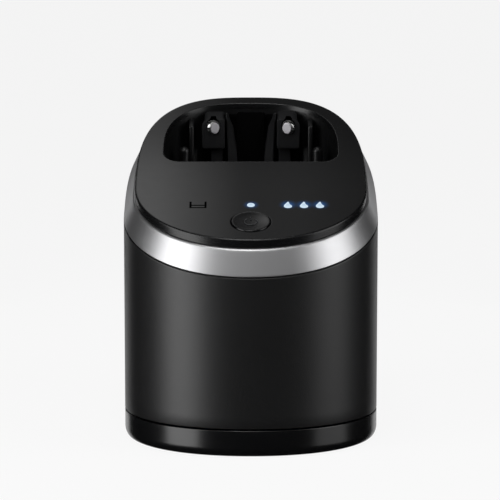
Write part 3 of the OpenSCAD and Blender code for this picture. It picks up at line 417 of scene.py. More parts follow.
def plate(outer, holes, top, bottom, edge=0.6, lip=0.3, skirt=None):
    """A plate with holes. The outer edge and each hole's upper lip are quarter circles, and the
    skirt, if there is one, is a wall under the outer edge: its thickness and its lowest height."""
    turn = np.linspace(0, np.pi / 2, 6)
    flat_outer, flat_holes = grow(outer, -edge - 0.3), [grow(h, lip + 0.25) for h in holes]
    parts = [flat_face(flat_outer, flat_holes, top)]
    rows = [over(flat_outer, top)]
    rows += [over(grow(outer, -edge * (1 - math.sin(a))), top) - (0, 0, edge * (1 - math.cos(a))) for a in turn]
    under = outer
    if skirt:
        wall, low = skirt
        under = grow(outer, -wall)
        rows += [over(outer, low), over(under, low)]
    rows.append(over(under, bottom))
    parts.append(shell(rows, ends=False))
    for hole, flat_hole in zip(holes, flat_holes):
        rows = [over(flat_hole, top)]
        rows += [over(grow(hole, lip * (1 - math.sin(a))), top) - (0, 0, lip * (1 - math.cos(a))) for a in turn]
        parts.append(shell([*rows, over(hole, bottom)], ends=False))
    parts.append(flat_face(under, holes, bottom))
    return parts


def tube(path, radius, around=14):
    """A circle carried along a path, square to it, with both ends closed."""
    path = np.asarray(path, float)
    along = np.gradient(path, axis=0)
    along /= np.linalg.norm(along, axis=1, keepdims=True)
    up = np.where(np.abs(along[:, 2:]) > 0.9, (1.0, 0, 0), (0, 0, 1.0))
    side = np.cross(along, up)
    side /= np.linalg.norm(side, axis=1, keepdims=True)
    across = np.cross(side, along)
    angle = np.linspace(0, 2 * np.pi, around, endpoint=False)[None, :, None]
    return shell(path[:, None] + radius * (np.cos(angle) * side[:, None] + np.sin(angle) * across[:, None]))


def coil(radius, wire, length_, turns, around=12):
    """A helix along z whose pitch closes up over its first and last turn, as a tube of the wire's radius."""
    steps = int(turns * 40)
    t = np.linspace(0, 1, steps)
    end = 1.0 / turns
    rise = np.minimum(1, np.minimum(t, 1 - t) / end) + 0.02
    height = np.cumsum(rise)
    height = wire / 2 + (length_ - wire) * (height - height[0]) / (height[-1] - height[0])
    angle = 2 * np.pi * turns * t
    return tube(np.stack([radius * np.cos(angle), radius * np.sin(angle), height], -1), wire / 2, around)


def moved(part, how):
    points, faces = part
    return how(points), faces


def along_back(x, y_from, z):
    """Turns a shape that stands on z = 0 so that it points backwards from a place."""
    return lambda p: np.stack([p[:, 0] + x, p[:, 2] + y_from, z - p[:, 1]], -1)


def on_panel(x, y):
    """Stands a shape on the panel's face at a place in plan, square to the face."""
    t = sizes("top")
    c, s = math.cos(t.panel_tilt), math.sin(t.panel_tilt)
    base = np.array([x, y, t.panel_level + math.tan(t.panel_tilt) * y])
    return lambda p: base + np.stack([p[:, 0], c * p[:, 1] - s * p[:, 2], s * p[:, 1] + c * p[:, 2]], -1)


def mirrored(part):
    """The same shape on the other side of the middle."""
    points, faces = part
    return points * (-1, 1, 1), [f[::-1] for f in faces]


def make_piece(name, parts, finish, body, nodes=(), sharp=32, close=True, trim=None):
    """Joins parts into one object at the origin, merges its doubles, points its faces outwards and
    gives it its finish. It rides on a body and stands for the named nodes. The trim is a second
    finish and the faces that take it, as a true or false for each."""
    points, faces, start = [], [], 0
    for part_points, part_faces in parts:
        points.append(part_points)
        faces += [[start + i for i in face] for face in part_faces]
        start += len(part_points)
    mesh = bpy.data.meshes.new(name)
    mesh.from_pydata(place(np.vstack(points)).tolist(), [], faces)
    if trim:
        mesh.polygons.foreach_set("material_index", np.asarray(trim[1]).astype(np.int32))
    work = bmesh.new()
    work.from_mesh(mesh)
    bmesh.ops.remove_doubles(work, verts=work.verts, dist=2e-6)
    bmesh.ops.dissolve_degenerate(work, edges=work.edges, dist=1e-7)
    if close:
        bmesh.ops.recalc_face_normals(work, faces=work.faces)
    work.to_mesh(mesh)
    work.free()
    mesh.shade_smooth()
    mesh.set_sharp_from_angle(angle=math.radians(sharp))
    mesh.materials.append(finish)
    if trim:
        mesh.materials.append(trim[0])
    piece = bpy.data.objects.new(name, mesh)
    bpy.context.scene.collection.objects.link(piece)
    if body:
        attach(piece, body)
    if nodes:
        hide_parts(*nodes)
    return piece


# ---- finishes ----

def node_group(name):
    """A shader node group of the table GROUPS, made once. Besides its own inputs it has a place."""
    if name in bpy.data.node_groups:
        return bpy.data.node_groups[name]
    build, inputs, outputs = GROUPS[name]
    group = bpy.data.node_groups.new(name, "ShaderNodeTree")
    for label, default in {"Place": (0, 0, 0), **inputs}.items():
        kind = {1: "Float", 3: "Vector", 4: "Color"}[np.size(default)]
        socket = group.interface.new_socket(name=label, in_out="INPUT", socket_type="NodeSocket" + kind)
        socket.default_value = default
    for label in outputs:
        kind = "Color" if label == "Color" else "Float"
        group.interface.new_socket(name=label, in_out="OUTPUT", socket_type="NodeSocket" + kind)
    build(group.nodes, group.links, group.nodes.new("NodeGroupInput"), group.nodes.new("NodeGroupOutput"))
    return group


def math_node(nodes, links, operation, *values, clamp=False):
    """A Math node whose inputs are numbers or sockets; gives its output socket."""
    made = nodes.new("ShaderNodeMath")
    made.operation = operation
    made.use_clamp = clamp
    for socket, value in zip(made.inputs, values):
        if isinstance(value, (int, float)):
            socket.default_value = value
        else:
            links.new(value, socket)
    return made.outputs[0]


def noise_node(nodes, links, place_, scale, detail=3.0, rough=0.5):
    made = nodes.new("ShaderNodeTexNoise")
    made.inputs["Detail"].default_value = detail
    made.inputs["Roughness"].default_value = rough
    links.new(place_, made.inputs["Vector"])
    if isinstance(scale, (int, float)):
        made.inputs["Scale"].default_value = scale
    else:
        links.new(scale, made.inputs["Scale"])
    return made.outputs["Fac"]


def build_grain(nodes, links, inp, out):
    """Spark-eroded grain: cells and noise of one scale, and their height."""
    cells = nodes.new("ShaderNodeTexVoronoi")
    cells.feature = "SMOOTH_F1"
    cells.inputs["Smoothness"].default_value = 0.4
    links.new(inp.outputs["Place"], cells.inputs["Vector"])
    links.new(inp.outputs["Scale"], cells.inputs["Scale"])
    finer = math_node(nodes, links, "MULTIPLY", inp.outputs["Scale"], 1.7)
    fine = noise_node(nodes, links, inp.outputs["Place"], finer)
    total = math_node(nodes, links, "ADD", cells.outputs["Distance"], fine)
    links.new(total, out.inputs["Height"])
    rough = math_node(nodes, links, "MULTIPLY_ADD", total, inp.outputs["Spread"],
                      inp.outputs["Roughness"], clamp=True)
    links.new(rough, out.inputs["Roughness"])


def build_handling(nodes, links, inp, out):
    """Wiped and handled areas: wide soft patches and thin streaks that change gloss a little."""
    wide = noise_node(nodes, links, inp.outputs["Place"], 22.0, 4.0, 0.6)
    stretch = nodes.new("ShaderNodeMapping")
    stretch.inputs["Scale"].default_value = (30, 30, 260)
    links.new(inp.outputs["Place"], stretch.inputs["Vector"])
    streaks = noise_node(nodes, links, stretch.outputs["Vector"], 3.0, 2.0, 0.5)
    mix = math_node(nodes, links, "MULTIPLY", wide, streaks)
    rough = math_node(nodes, links, "MULTIPLY_ADD", mix, inp.outputs["Amount"],
                      inp.outputs["Roughness"], clamp=True)
    links.new(rough, out.inputs["Roughness"])
    links.new(wide, out.inputs["Patches"])


def build_tone(nodes, links, inp, out):
    """Slight change of tone over the surface, and fine dust that lies on faces that look up."""
    soft = noise_node(nodes, links, inp.outputs["Place"], 35.0, 3.0)
    shade = nodes.new("ShaderNodeMix")
    shade.data_type = "RGBA"
    links.new(inp.outputs["Color"], shade.inputs["A"])
    links.new(inp.outputs["Second"], shade.inputs["B"])
    links.new(soft, shade.inputs["Factor"])
    specks = noise_node(nodes, links, inp.outputs["Place"], 2600.0, 2.0)
    normal = nodes.new("ShaderNodeNewGeometry")
    up = nodes.new("ShaderNodeSeparateXYZ")
    links.new(normal.outputs["Normal"], up.inputs[0])
    ramp = nodes.new("ShaderNodeMapRange")
    ramp.inputs["From Min"].default_value = 0.62
    ramp.inputs["From Max"].default_value = 0.72
    links.new(specks, ramp.inputs["Value"])
    upwards = math_node(nodes, links, "MAXIMUM", up.outputs["Z"], 0.0)
    level = math_node(nodes, links, "MULTIPLY", upwards, ramp.outputs["Result"])
    dust = nodes.new("ShaderNodeMix")
    dust.data_type = "RGBA"
    links.new(math_node(nodes, links, "MULTIPLY", level, inp.outputs["Dust"]), dust.inputs["Factor"])
    links.new(shade.outputs["Result"], dust.inputs["A"])
    dust.inputs["B"].default_value = (0.34, 0.33, 0.31, 1)
    links.new(dust.outputs["Result"], out.inputs["Color"])


def build_halo(nodes, links, inp, out):
    """Glow round a lit window: (1 - distance/reach) to the power 2.2, which is 0 from the reach on."""
    away = nodes.new("ShaderNodeVectorMath")
    away.operation = "DISTANCE"
    links.new(inp.outputs["Place"], away.inputs[0])
    links.new(inp.outputs["Centre"], away.inputs[1])
    ratio = math_node(nodes, links, "DIVIDE", away.outputs["Value"], inp.outputs["Reach"])
    share = math_node(nodes, links, "SUBTRACT", 1.0, ratio, clamp=True)
    links.new(math_node(nodes, links, "POWER", share, 2.2), out.inputs["Mask"])


GROUPS = {
    "moulded_grain": (build_grain, {"Scale": 900.0, "Spread": 0.1, "Roughness": 0.4}, ["Height", "Roughness"]),
    "handling_marks": (build_handling, {"Amount": 0.2, "Roughness": 0.1}, ["Roughness", "Patches"]),
    "tone_and_dust": (build_tone, {"Color": (0, 0, 0, 1), "Second": (0, 0, 0, 1), "Dust": 0.0}, ["Color"]),
    "window_halo": (build_halo, {"Centre": (0, 0, 0), "Reach": 0.01}, ["Mask"]),
}


class Finish:
    """A material being made: its nodes, its shader and the object coordinates."""

    def __init__(self, name):
        self.material = bpy.data.materials.new(name)
        self.material.use_nodes = True
        self.nodes, self.links = self.material.node_tree.nodes, self.material.node_tree.links
        self.shader = next(n for n in self.nodes if n.type == "BSDF_PRINCIPLED")
        self.place = self.nodes.new("ShaderNodeTexCoord").outputs["Object"]

    def set(self, **values):
        for label, value in values.items():
            self.shader.inputs[label.replace("_", " ")].default_value = value

    def group(self, name, **values):
        made = self.nodes.new("ShaderNodeGroup")
        made.node_tree = node_group(name)
        for label, value in values.items():
            made.inputs[label].default_value = value
        self.links.new(self.place, made.inputs["Place"])
        return made.outputs

    def tone(self, colour_, change=0.15, dust=0.0):
        rgb = np.array(tuple(colour_)[:3])
        second = np.clip(rgb * (1 + change) + 0.002 * change, 0, 1)
        outputs = self.group("tone_and_dust", Color=(*rgb, 1), Second=(*second, 1), Dust=dust)
        self.links.new(outputs["Color"], self.shader.inputs["Base Color"])

    def wipe(self, roughness, marks):
        """Lets handling marks vary the roughness. Gives the patches that the marks follow."""
        outputs = self.group("handling_marks", Amount=marks, Roughness=roughness)
        self.links.new(outputs["Roughness"], self.shader.inputs["Roughness"])
        return outputs["Patches"]

    def bump(self, height, distance, strength=1.0):
        made = self.nodes.new("ShaderNodeBump")
        made.inputs["Distance"].default_value = distance
        made.inputs["Strength"].default_value = strength
        self.links.new(height, made.inputs["Height"])
        self.links.new(made.outputs["Normal"], self.shader.inputs["Normal"])


def grained(name, colour_, roughness=0.42, scale=1500.0, depth=0.00003, spread=0.08, dust=0.0, level=0.5):
    """Moulded plastic with a fine grain."""
    f = Finish(name)
    f.set(Specular_IOR_Level=level)
    f.tone(colour_, dust=dust)
    grain = f.group("moulded_grain", Scale=scale, Spread=spread, Roughness=roughness)
    f.links.new(grain["Roughness"], f.shader.inputs["Roughness"])
    f.bump(grain["Height"], depth)
    return f.material


WAVINESS = (0.00002, 0.4)  # height and strength of the waviness of polished plastic


def glossy(name, colour_, roughness, marks, dust=0.0, level=0.5):
    """Polished moulded plastic with faint wiping marks and a very slight waviness."""
    f = Finish(name)
    f.set(Specular_IOR_Level=level)
    f.tone(colour_, dust=dust)
    f.bump(f.wipe(roughness, marks), *WAVINESS)
    return f.material


def metal(name, colour_, roughness, lines, depth, change=0.08, metallic=1.0):
    """Metal with fine lines along one direction and handling marks."""
    f = Finish(name)
    f.set(Metallic=metallic)
    f.tone(colour_, change=change)
    stretch = f.nodes.new("ShaderNodeMapping")
    stretch.inputs["Scale"].default_value = lines
    f.links.new(f.place, stretch.inputs["Vector"])
    scratches = noise_node(f.nodes, f.links, stretch.outputs["Vector"], 4.0, 4.0, 0.6)
    f.wipe(roughness, 0.12)
    f.bump(scratches, depth)
    return f.material


def window_centres():
    """Places of the lit windows on the panel, in millimetres: the dot, then the three drops."""
    k = sizes("controls")
    drops = [(k.drop_from + i * k.drop_pitch, -k.row_front - 0.23 * k.drop_tip) for i in range(3)]
    return [(0.0, -k.row_front), *drops]


def halos(f, aside, drop_shift, dot_reach, drop_reach):
    """Sum of the glow of all lit windows. Its centres lie a little aside, and a drop's also
    towards its tip, in millimetres. The reaches are in metres."""
    total = None
    for x, y in window_centres():
        shift, reach = (0.0, dot_reach) if x == 0 else (drop_shift, drop_reach)
        centre = on_panel(x, y)(np.array([[aside, shift, 0.0]]))[0]
        mask = f.group("window_halo", Centre=point(*centre), Reach=reach)["Mask"]
        total = mask if total is None else math_node(f.nodes, f.links, "ADD", total, mask)
    return total


def panel_finish():
    """Gloss black that also carries the blue glow round each lit window."""
    s = bpy.context.scene.station_finish
    f = Finish("gloss_panel_finish")
    f.set(Specular_IOR_Level=0.5)
    f.tone(s.gloss_black, dust=0.05)
    f.bump(f.wipe(0.075, 0.10), *WAVINESS)
    total = halos(f, 0.15, 1.1, 0.0050, 0.0058)
    glow = f.nodes.new("ShaderNodeMix")
    glow.data_type = "RGBA"
    f.links.new(math_node(f.nodes, f.links, "MINIMUM", total, 1.0), glow.inputs["Factor"])
    glow.inputs["A"].default_value = (0, 0, 0, 1)
    glow.inputs["B"].default_value = (*s.halo, 1)
    f.links.new(glow.outputs["Result"], f.shader.inputs["Emission Color"])
    f.set(Emission_Strength=0.4)
    return f.material


def window_finish():
    """A lit light guide: bluish white in the middle of each window and bluer at its edge."""
    s = bpy.context.scene.station_finish
    f = Finish("lit_window_finish")
    f.set(Roughness=0.25, Specular_IOR_Level=0.4)
    f.tone((0.04, 0.055, 0.07))
    total = halos(f, 0.0, 0.7, 0.0050, 0.0062)
    bright, heart = f.nodes.new("ShaderNodeMix"), f.nodes.new("ShaderNodeMix")
    bright.data_type = heart.data_type = "RGBA"
    f.links.new(math_node(f.nodes, f.links, "MULTIPLY", total, 2.8, clamp=True), bright.inputs["Factor"])
    bright.inputs["A"].default_value = (*s.window_edge, 1)
    bright.inputs["B"].default_value = (*s.window, 1)
    at_most_one = math_node(f.nodes, f.links, "MINIMUM", total, 1.0)
    f.links.new(math_node(f.nodes, f.links, "POWER", at_most_one, 2.0), heart.inputs["Factor"])
    f.links.new(bright.outputs["Result"], heart.inputs["A"])
    heart.inputs["B"].default_value = (*s.window_heart, 1)
    f.links.new(heart.outputs["Result"], f.shader.inputs["Emission Color"])
    f.set(Emission_Strength=0.92)
    return f.material


def board_finish():
    """Green solder mask with a few raised traces."""
    f = Finish("solder_mask_finish")
    f.set(Roughness=0.35)
    lines = f.nodes.new("ShaderNodeTexBrick")
    lines.inputs["Scale"].default_value = 420.0
    lines.inputs["Mortar Size"].default_value = 0.03
    lines.inputs["Color1"].default_value = (0.012, 0.085, 0.035, 1)
    lines.inputs["Color2"].default_value = (0.014, 0.10, 0.04, 1)
    lines.inputs["Mortar"].default_value = (0.03, 0.17, 0.07, 1)
    f.links.new(f.place, lines.inputs["Vector"])
    f.links.new(lines.outputs["Color"], f.shader.inputs["Base Color"])
    f.bump(lines.outputs["Fac"], 0.00003)
    return f.material


def finish(name):
    """The finish of this name, made the first time that it is asked for."""
    full_name = name + "_finish"
    if full_name in bpy.data.materials:
        return bpy.data.materials[full_name]
    s = bpy.context.scene.station_finish
    makers = {
        "body_grain": lambda n: grained(n, s.body_black, 0.32, 1700.0, 0.00002, 0.08, dust=0.01, level=0.7),
        "gloss_base": lambda n: glossy(n, s.gloss_black, 0.20, 0.14, dust=0.01, level=0.6),
        "gloss_panel": lambda n: panel_finish(),
        "cavity_satin": lambda n: grained(n, s.cavity_black, 0.30, 1100.0, 0.00002, 0.08, dust=0.03),
        "groove_dark": lambda n: grained(n, (0.004, 0.004, 0.004), 0.6),
        "satin_silver": lambda n: metal(n, s.silver, 0.36, (40, 40, 500), 0.000002, 0.05),
        "contact_metal": lambda n: metal(n, (0.72, 0.72, 0.71), 0.24, (400, 400, 400), 0.00001, 0.1),
        "contact_face": lambda n: metal(n, (0.42, 0.41, 0.43), 0.42, (1500, 1500, 1500), 0.00006, 0.5,
                                        metallic=0.55),
        "arm_grain": lambda n: grained(n, (0.0080, 0.0082, 0.0090), 0.5, 1300.0, 0.00002, 0.08, dust=0.03,
                                       level=0.22),
        # Painted shade: near-black with almost no sheen, laid on the keyhole's deep faces, the web and the
        # tongue, where shade falls among the arms
        "shadow_black": lambda n: grained(n, (0.0006, 0.0006, 0.0007), 0.8, 1300.0, 0.00001, level=0.03),
        "gloss_collar": lambda n: glossy(n, s.gloss_black, 0.24, 0.14),
        "button_gloss": lambda n: glossy(n, s.gloss_black, 0.18, 0.14),
        "button_symbol": lambda n: grained(n, (0.03, 0.031, 0.033), 0.45, 2500.0, 0.00001),
        "lit_window": lambda n: window_finish(),
        "dark_window": lambda n: grained(n, (0.0008, 0.0008, 0.0009), 0.8, 2500.0, 0.00001, level=0.02),
        "cartridge_blue": lambda n: grained(n, s.cartridge, 0.26, 1500.0, 0.00001, 0.05, dust=0.02),
        "lid_blue": lambda n: grained(n, s.lid, 0.34, 900.0, 0.00003),
        "filter_mesh": lambda n: grained(n, (0.62, 0.63, 0.64), 0.7, 2600.0, 0.0001),
        "dish_gloss": lambda n: glossy(n, (0.030, 0.031, 0.034), 0.12, 0.2),
        "black_rubber": lambda n: grained(n, (0.016, 0.016, 0.016), 0.75, 1200.0, 0.00006, level=0.35),
        "grey_seal": lambda n: grained(n, (0.085, 0.085, 0.092), 0.6, 1400.0, 0.00003),
        "chassis_grain": lambda n: grained(n, (0.045, 0.046, 0.05), 0.5, 700.0, 0.00005),
        "pump_grain": lambda n: grained(n, (0.10, 0.105, 0.11), 0.5, 800.0, 0.00006),
        "acetal": lambda n: grained(n, (0.70, 0.68, 0.60), 0.38, 500.0, 0.00001),
        "milky_tube": lambda n: glossy(n, (0.55, 0.58, 0.60), 0.22, 0.1),
        "zinc_steel": lambda n: metal(n, (0.55, 0.56, 0.57), 0.30, (300, 300, 30), 0.000006, 0.12),
        "ground_steel": lambda n: metal(n, (0.62, 0.63, 0.65), 0.16, (900, 900, 12), 0.000003),
        "spring_steel": lambda n: metal(n, (0.50, 0.51, 0.52), 0.25, (500, 500, 500), 0.000005, 0.12),
        "motor_can": lambda n: metal(n, (0.46, 0.47, 0.48), 0.32, (20, 20, 700), 0.000006, 0.1),
        "brass_terminal": lambda n: metal(n, (0.68, 0.50, 0.20), 0.25, (300, 300, 300), 0.000005, 0.12),
        "solder_mask": lambda n: board_finish(),
        "switch_black": lambda n: grained(n, (0.02, 0.02, 0.02), 0.5, 1200.0, 0.00002),
        "diode_case": lambda n: glossy(n, (0.72, 0.72, 0.62), 0.3, 0.1),
    }
    return makers[name](full_name)


# ---- operators, one for each piece or group of like pieces ----

class STATION_OT_base(bpy.types.Operator):
    """Gloss-black base band with its rounded undercut, the deck with its ledges, and the feet."""

    bl_idname = "station.base"
    bl_label = "Base"

    def execute(self, context):
        b = sizes("body")
        angle = even_angles(b.steps)
        turn = np.linspace(0, np.pi / 2, 18)
        rim = b.undercut + b.wall
        low = b.foot_out
        rows = [(rim, b.deck - 2.8), (rim, low + 0.2), (rim - 0.2, low), (b.undercut + 0.3, low)]
        rows += [(b.undercut * (1 - math.sin(a)),
                  low + b.undercut_height * (1 - math.cos(a))) for a in turn[1:]]
        rows += [(0, 8.0), (0, 11.0), (0, b.deck - 1.2)]
        edge = 0.55
        rows += [(edge * (1 - math.cos(a)), b.deck - edge * (1 - math.sin(a)))
                 for a in np.linspace(0, np.pi / 2, 6)]
        rows += [(edge + 0.4, b.deck), (4, b.deck)]
        skin = shell([over(body_outline(angle, inset), z) for inset, z in rows])
        front, half = CARTRIDGE_FRONT, 50.3
        bars = [slab(rounded_rectangle(x, x + 2, front, front + 34.5, 0.9), b.deck - 1, b.deck + 6, 0.6)
                for x in (half, -half - 2)]
        bar = rounded_rectangle(-20, 20, front - 2.3, front - 0.3, 0.9)
        bars.append(slab(bar, b.deck - 1, b.deck + 8, 0.6))
        collar = [(0, b.deck - 1), (5.5, b.deck - 1), (5.5, b.deck - 0.1), (5.1, b.deck + 0.25),
                  (3.4, b.deck + 0.25), (3.05, b.deck), (3.0, b.deck - 0.8), (0, b.deck - 0.8)]
        bars += [turned(collar, (GUIDE_X * side, GUIDE_Y), 48) for side in (-1, 1)]
        make_piece("base_skin", [skin, *bars], finish("gloss_base"), "base", ["base_tray"])

        foot = [(0, low + 0.8), (7, low + 0.8), (7, 0.4), (6.9, 0.15), (6.6, 0.02), (6.2, 0), (5.2, 0),
                (5.0, 0.12), (4.4, 0.12), (4.2, 0), (0, 0)]
        pads = [turned(foot, centre, 64) for centre in ((40, -14), (-40, -14), (34, 62), (-34, 62))]
        make_piece("foot_pads", pads, finish("black_rubber"), "base", ["rubber_feet"], sharp=50)
        return {"FINISHED"}


class STATION_OT_housing(bpy.types.Operator):
    """Grained black skin of the housing, with its doorway, button hole and inlet hole, and the dark groove."""

    bl_idname = "station.housing"
    bl_label = "Housing"

    def execute(self, context):
        b, t = sizes("body"), sizes("top")
        door, key, inlet = 50.6, 14.0, 11.05
        door_top, key_low, key_high, inlet_low, inlet_high = 57.0, 63.0, 75.0, 84.43, 97.53
        angle = even_angles(b.steps, (door, -door, key, -key, inlet, -inlet))
        loop = body_outline(angle)
        bottom = b.deck + b.groove_height
        low = plane(t.ring_low, t.ring_low_tilt)
        top = low(loop) - b.groove_height
        fixed = np.array([bottom, 26, 36, 47, door_top, key_low, key_high, inlet_low, inlet_high])
        share = np.array([0.12, 0.25, 0.4, 0.55, 0.7, 0.85, 0.97, 1.0])
        reference = 150.0
        levels = np.concatenate([fixed, fixed[-1] + (reference - fixed[-1]) * share])
        front_rows = bottom + np.outer((levels - bottom) / (reference - bottom), top - bottom)
        rear_rows = np.vstack([np.repeat(fixed[:, None], len(top), 1),
                               fixed[-1] + np.outer(share, top - fixed[-1])])
        blend = smooth(15, 55, loop[:, 1])
        height = front_rows * (1 - blend) + rear_rows * blend
        points = np.concatenate([np.repeat(loop[None], len(height), 0), height[..., None]], -1)
        count, cols = height.shape
        faces = grid_faces(count, cols, False, True)
        middle = points.reshape(-1, 3)[faces].mean(1)
        x, rear, z = np.abs(middle[:, 0]), middle[:, 1] > 60, middle[:, 2]
        open_ = rear & (((x < door) & (z < door_top)) | ((x < key) & (z > key_low) & (z < key_high))
                        | ((x < inlet) & (z > inlet_low) & (z < inlet_high)))
        skin = make_piece("housing_skin", [(points.reshape(-1, 3), faces[~open_].tolist())],
                          finish("body_grain"), "housing", ["housing_shell"], sharp=180)
        wall = skin.modifiers.new("wall", "SOLIDIFY")
        wall.thickness, wall.offset, wall.use_even_offset = b.wall / 1000, -1, True
        edge = skin.modifiers.new("edge", "BEVEL")
        edge.width, edge.segments, edge.limit_method, edge.angle_limit = 0.00032, 2, "ANGLE", math.radians(50)

        band = [(b.groove_depth, -1.6), (b.groove_depth, 0), (b.wall - 0.1, 0), (b.wall - 0.1, -1.6)]
        rows = [over(body_outline(angle, inset), low) + (0, 0, rise) for inset, rise in band]
        make_piece("housing_groove", [shell(rows, ring=True)], finish("groove_dark"), "housing",
                   ["housing_shell"])
        return {"FINISHED"}


class STATION_OT_ring(bpy.types.Operator):
    """Satin silver ring: a leaning band between two sloping planes, with a soft upper edge."""

    bl_idname = "station.ring"
    bl_label = "Silver ring"

    def execute(self, context):
        b, t = sizes("body"), sizes("top")
        angle = even_angles(b.steps)
        low, high = plane(t.ring_low, t.ring_low_tilt), plane(t.ring_top, t.ring_top_tilt)
        tall = t.ring_top - t.ring_low
        lean = t.ring_lean / tall
        edge = 0.75
        wall = b.wall
        profile = [(0.30, 0.0), (0.08, 0.06), (0.03 + lean * 0.2, 0.25)]
        bend_from = tall - edge * 1.25
        profile += [(lean * h, h) for h in np.linspace(0.6, bend_from, 12)]
        start = np.array([lean * bend_from, bend_from])
        corner = np.array([lean * tall, tall])
        flat = np.array([lean * tall + edge, tall])
        s = np.linspace(0, 1, 8)[1:, None]
        profile += ((1 - s) ** 2 * start + 2 * s * (1 - s) * corner + s ** 2 * flat).tolist()
        inner = lean * tall + wall
        profile += [(inner - 0.2, tall), (inner, tall - 0.2), (wall, 0.2), (wall - 0.2, 0.0)]
        rows = []
        for inset, rise in profile:
            loop = body_outline(angle, inset)
            z = low(loop) + rise / tall * (high(loop) - low(loop))
            rows.append(np.column_stack([loop, z]))
        make_piece("silver_ring", [shell(rows, ring=True)], finish("satin_silver"), "housing",
                   ["trim_ring"], sharp=60)
        return {"FINISHED"}


class STATION_OT_cover(bpy.types.Operator):
    """Gloss-black cover: the sloping panel with its openings and the upright collar round it."""

    bl_idname = "station.cover"
    bl_label = "Panel and collar"

    def execute(self, context):
        b, t, k = sizes("body"), sizes("top"), sizes("controls")
        outer = body_outline(even_angles(b.steps), t.cover_inset)
        squeeze = np.array([1, math.cos(t.panel_tilt)])
        holes = [cavity_outline(0.0)]
        holes.append(circle(0, 0, k.button_radius + k.button_gap, 96) * squeeze + (0, -k.button_front))
        windows = [circle(0, 0, k.dot_radius + 0.05, 48)] + 3 * [drop_outline(0.05)]
        for (x, y), shape in zip(window_centres(), windows):
            holes.append(shape * squeeze + (x, y))
        face = plane(t.panel_level, t.panel_tilt)
        gasket = plane(t.ring_top + 0.6, t.ring_top_tilt)
        parts = plate(outer, holes, face, lambda xy: face(xy) - t.panel_thickness, 0.8, 0.35,
                      (t.cover_wall, gasket))
        collar = np.concatenate([np.full(len(faces), i in (1, 2)) for i, (_, faces) in enumerate(parts)])
        make_piece("panel_cover", parts, finish("gloss_panel"), "housing",
                   ["top_cover"], sharp=40, trim=(finish("gloss_collar"), collar))
        return {"FINISHED"}


class STATION_OT_cavity(bpy.types.Operator):
    """Liner of the cavity: a wall that rounds into the floor, the mouth over the dish, pegs and ribs."""

    bl_idname = "station.cavity"
    bl_label = "Cavity liner"

    def execute(self, context):
        c, t = sizes("cavity"), sizes("top")
        top = plane(t.panel_level - t.panel_thickness - 0.03, t.panel_tilt)
        wall = cavity_outline(c.set_back)
        back = cavity_outline(c.set_back + c.wall)
        floor = c.floor + c.wall
        centre = np.array([0, c.dish_back])
        out = wall - centre
        mouth = centre + c.mouth * out / np.linalg.norm(out, axis=1, keepdims=True)
        inward = (mouth - wall) / np.linalg.norm(mouth - wall, axis=1, keepdims=True)
        fillet = 3.0
        rows = [over(wall, top)]
        rows += [np.column_stack([wall, top(wall) * s + floor * (1 - s)]) for s in (0.7, 0.3)]
        for a in np.linspace(0, np.pi / 2, 7):
            rows.append(over(wall + inward * fillet * (1 - math.cos(a)), floor + fillet * (1 - math.sin(a))))
        step = np.linspace(0, 1, 5)[1:-1]
        start = wall + inward * fillet
        end = centre + (mouth - centre) * (c.mouth + 0.7) / c.mouth
        rows += [over(start * (1 - s) + end * s, floor) for s in step]
        for a in np.linspace(0, np.pi / 2, 5):
            wider = (c.mouth + 0.6 * (1 - math.sin(a))) / c.mouth
            rows.append(over(centre + (mouth - centre) * wider, floor - 0.6 * (1 - math.cos(a))))
        rows += [over(mouth, c.floor), over(back, c.floor), over(back, top)]
        parts = [shell(rows, ring=True)]
        ball = [(2.8 * math.cos(a), 141 + 2.8 * math.sin(a)) for a in np.linspace(0, np.pi / 2, 10)]
        peg = [(0, floor - 1), (3.6, floor - 1), (3.6, floor), (3.1, floor + 0.3), (2.8, floor + 0.9), *ball]
        for side in (-1, 1):
            parts.append(turned(peg, (36 * side, 62), 48))
            rib = rounded_rectangle(31, 33.5, 70, 79, 0.8)
            rib = rib if side > 0 else rib[::-1] * (-1, 1)
            parts.append(slab(rib, floor - 1, plane(t.panel_level - t.panel_thickness - 2, t.panel_tilt), 0.5))
        make_piece("cavity_liner_skin", parts, finish("cavity_satin"), "housing",
                   ["cavity_liner"], sharp=40)
        return {"FINISHED"}


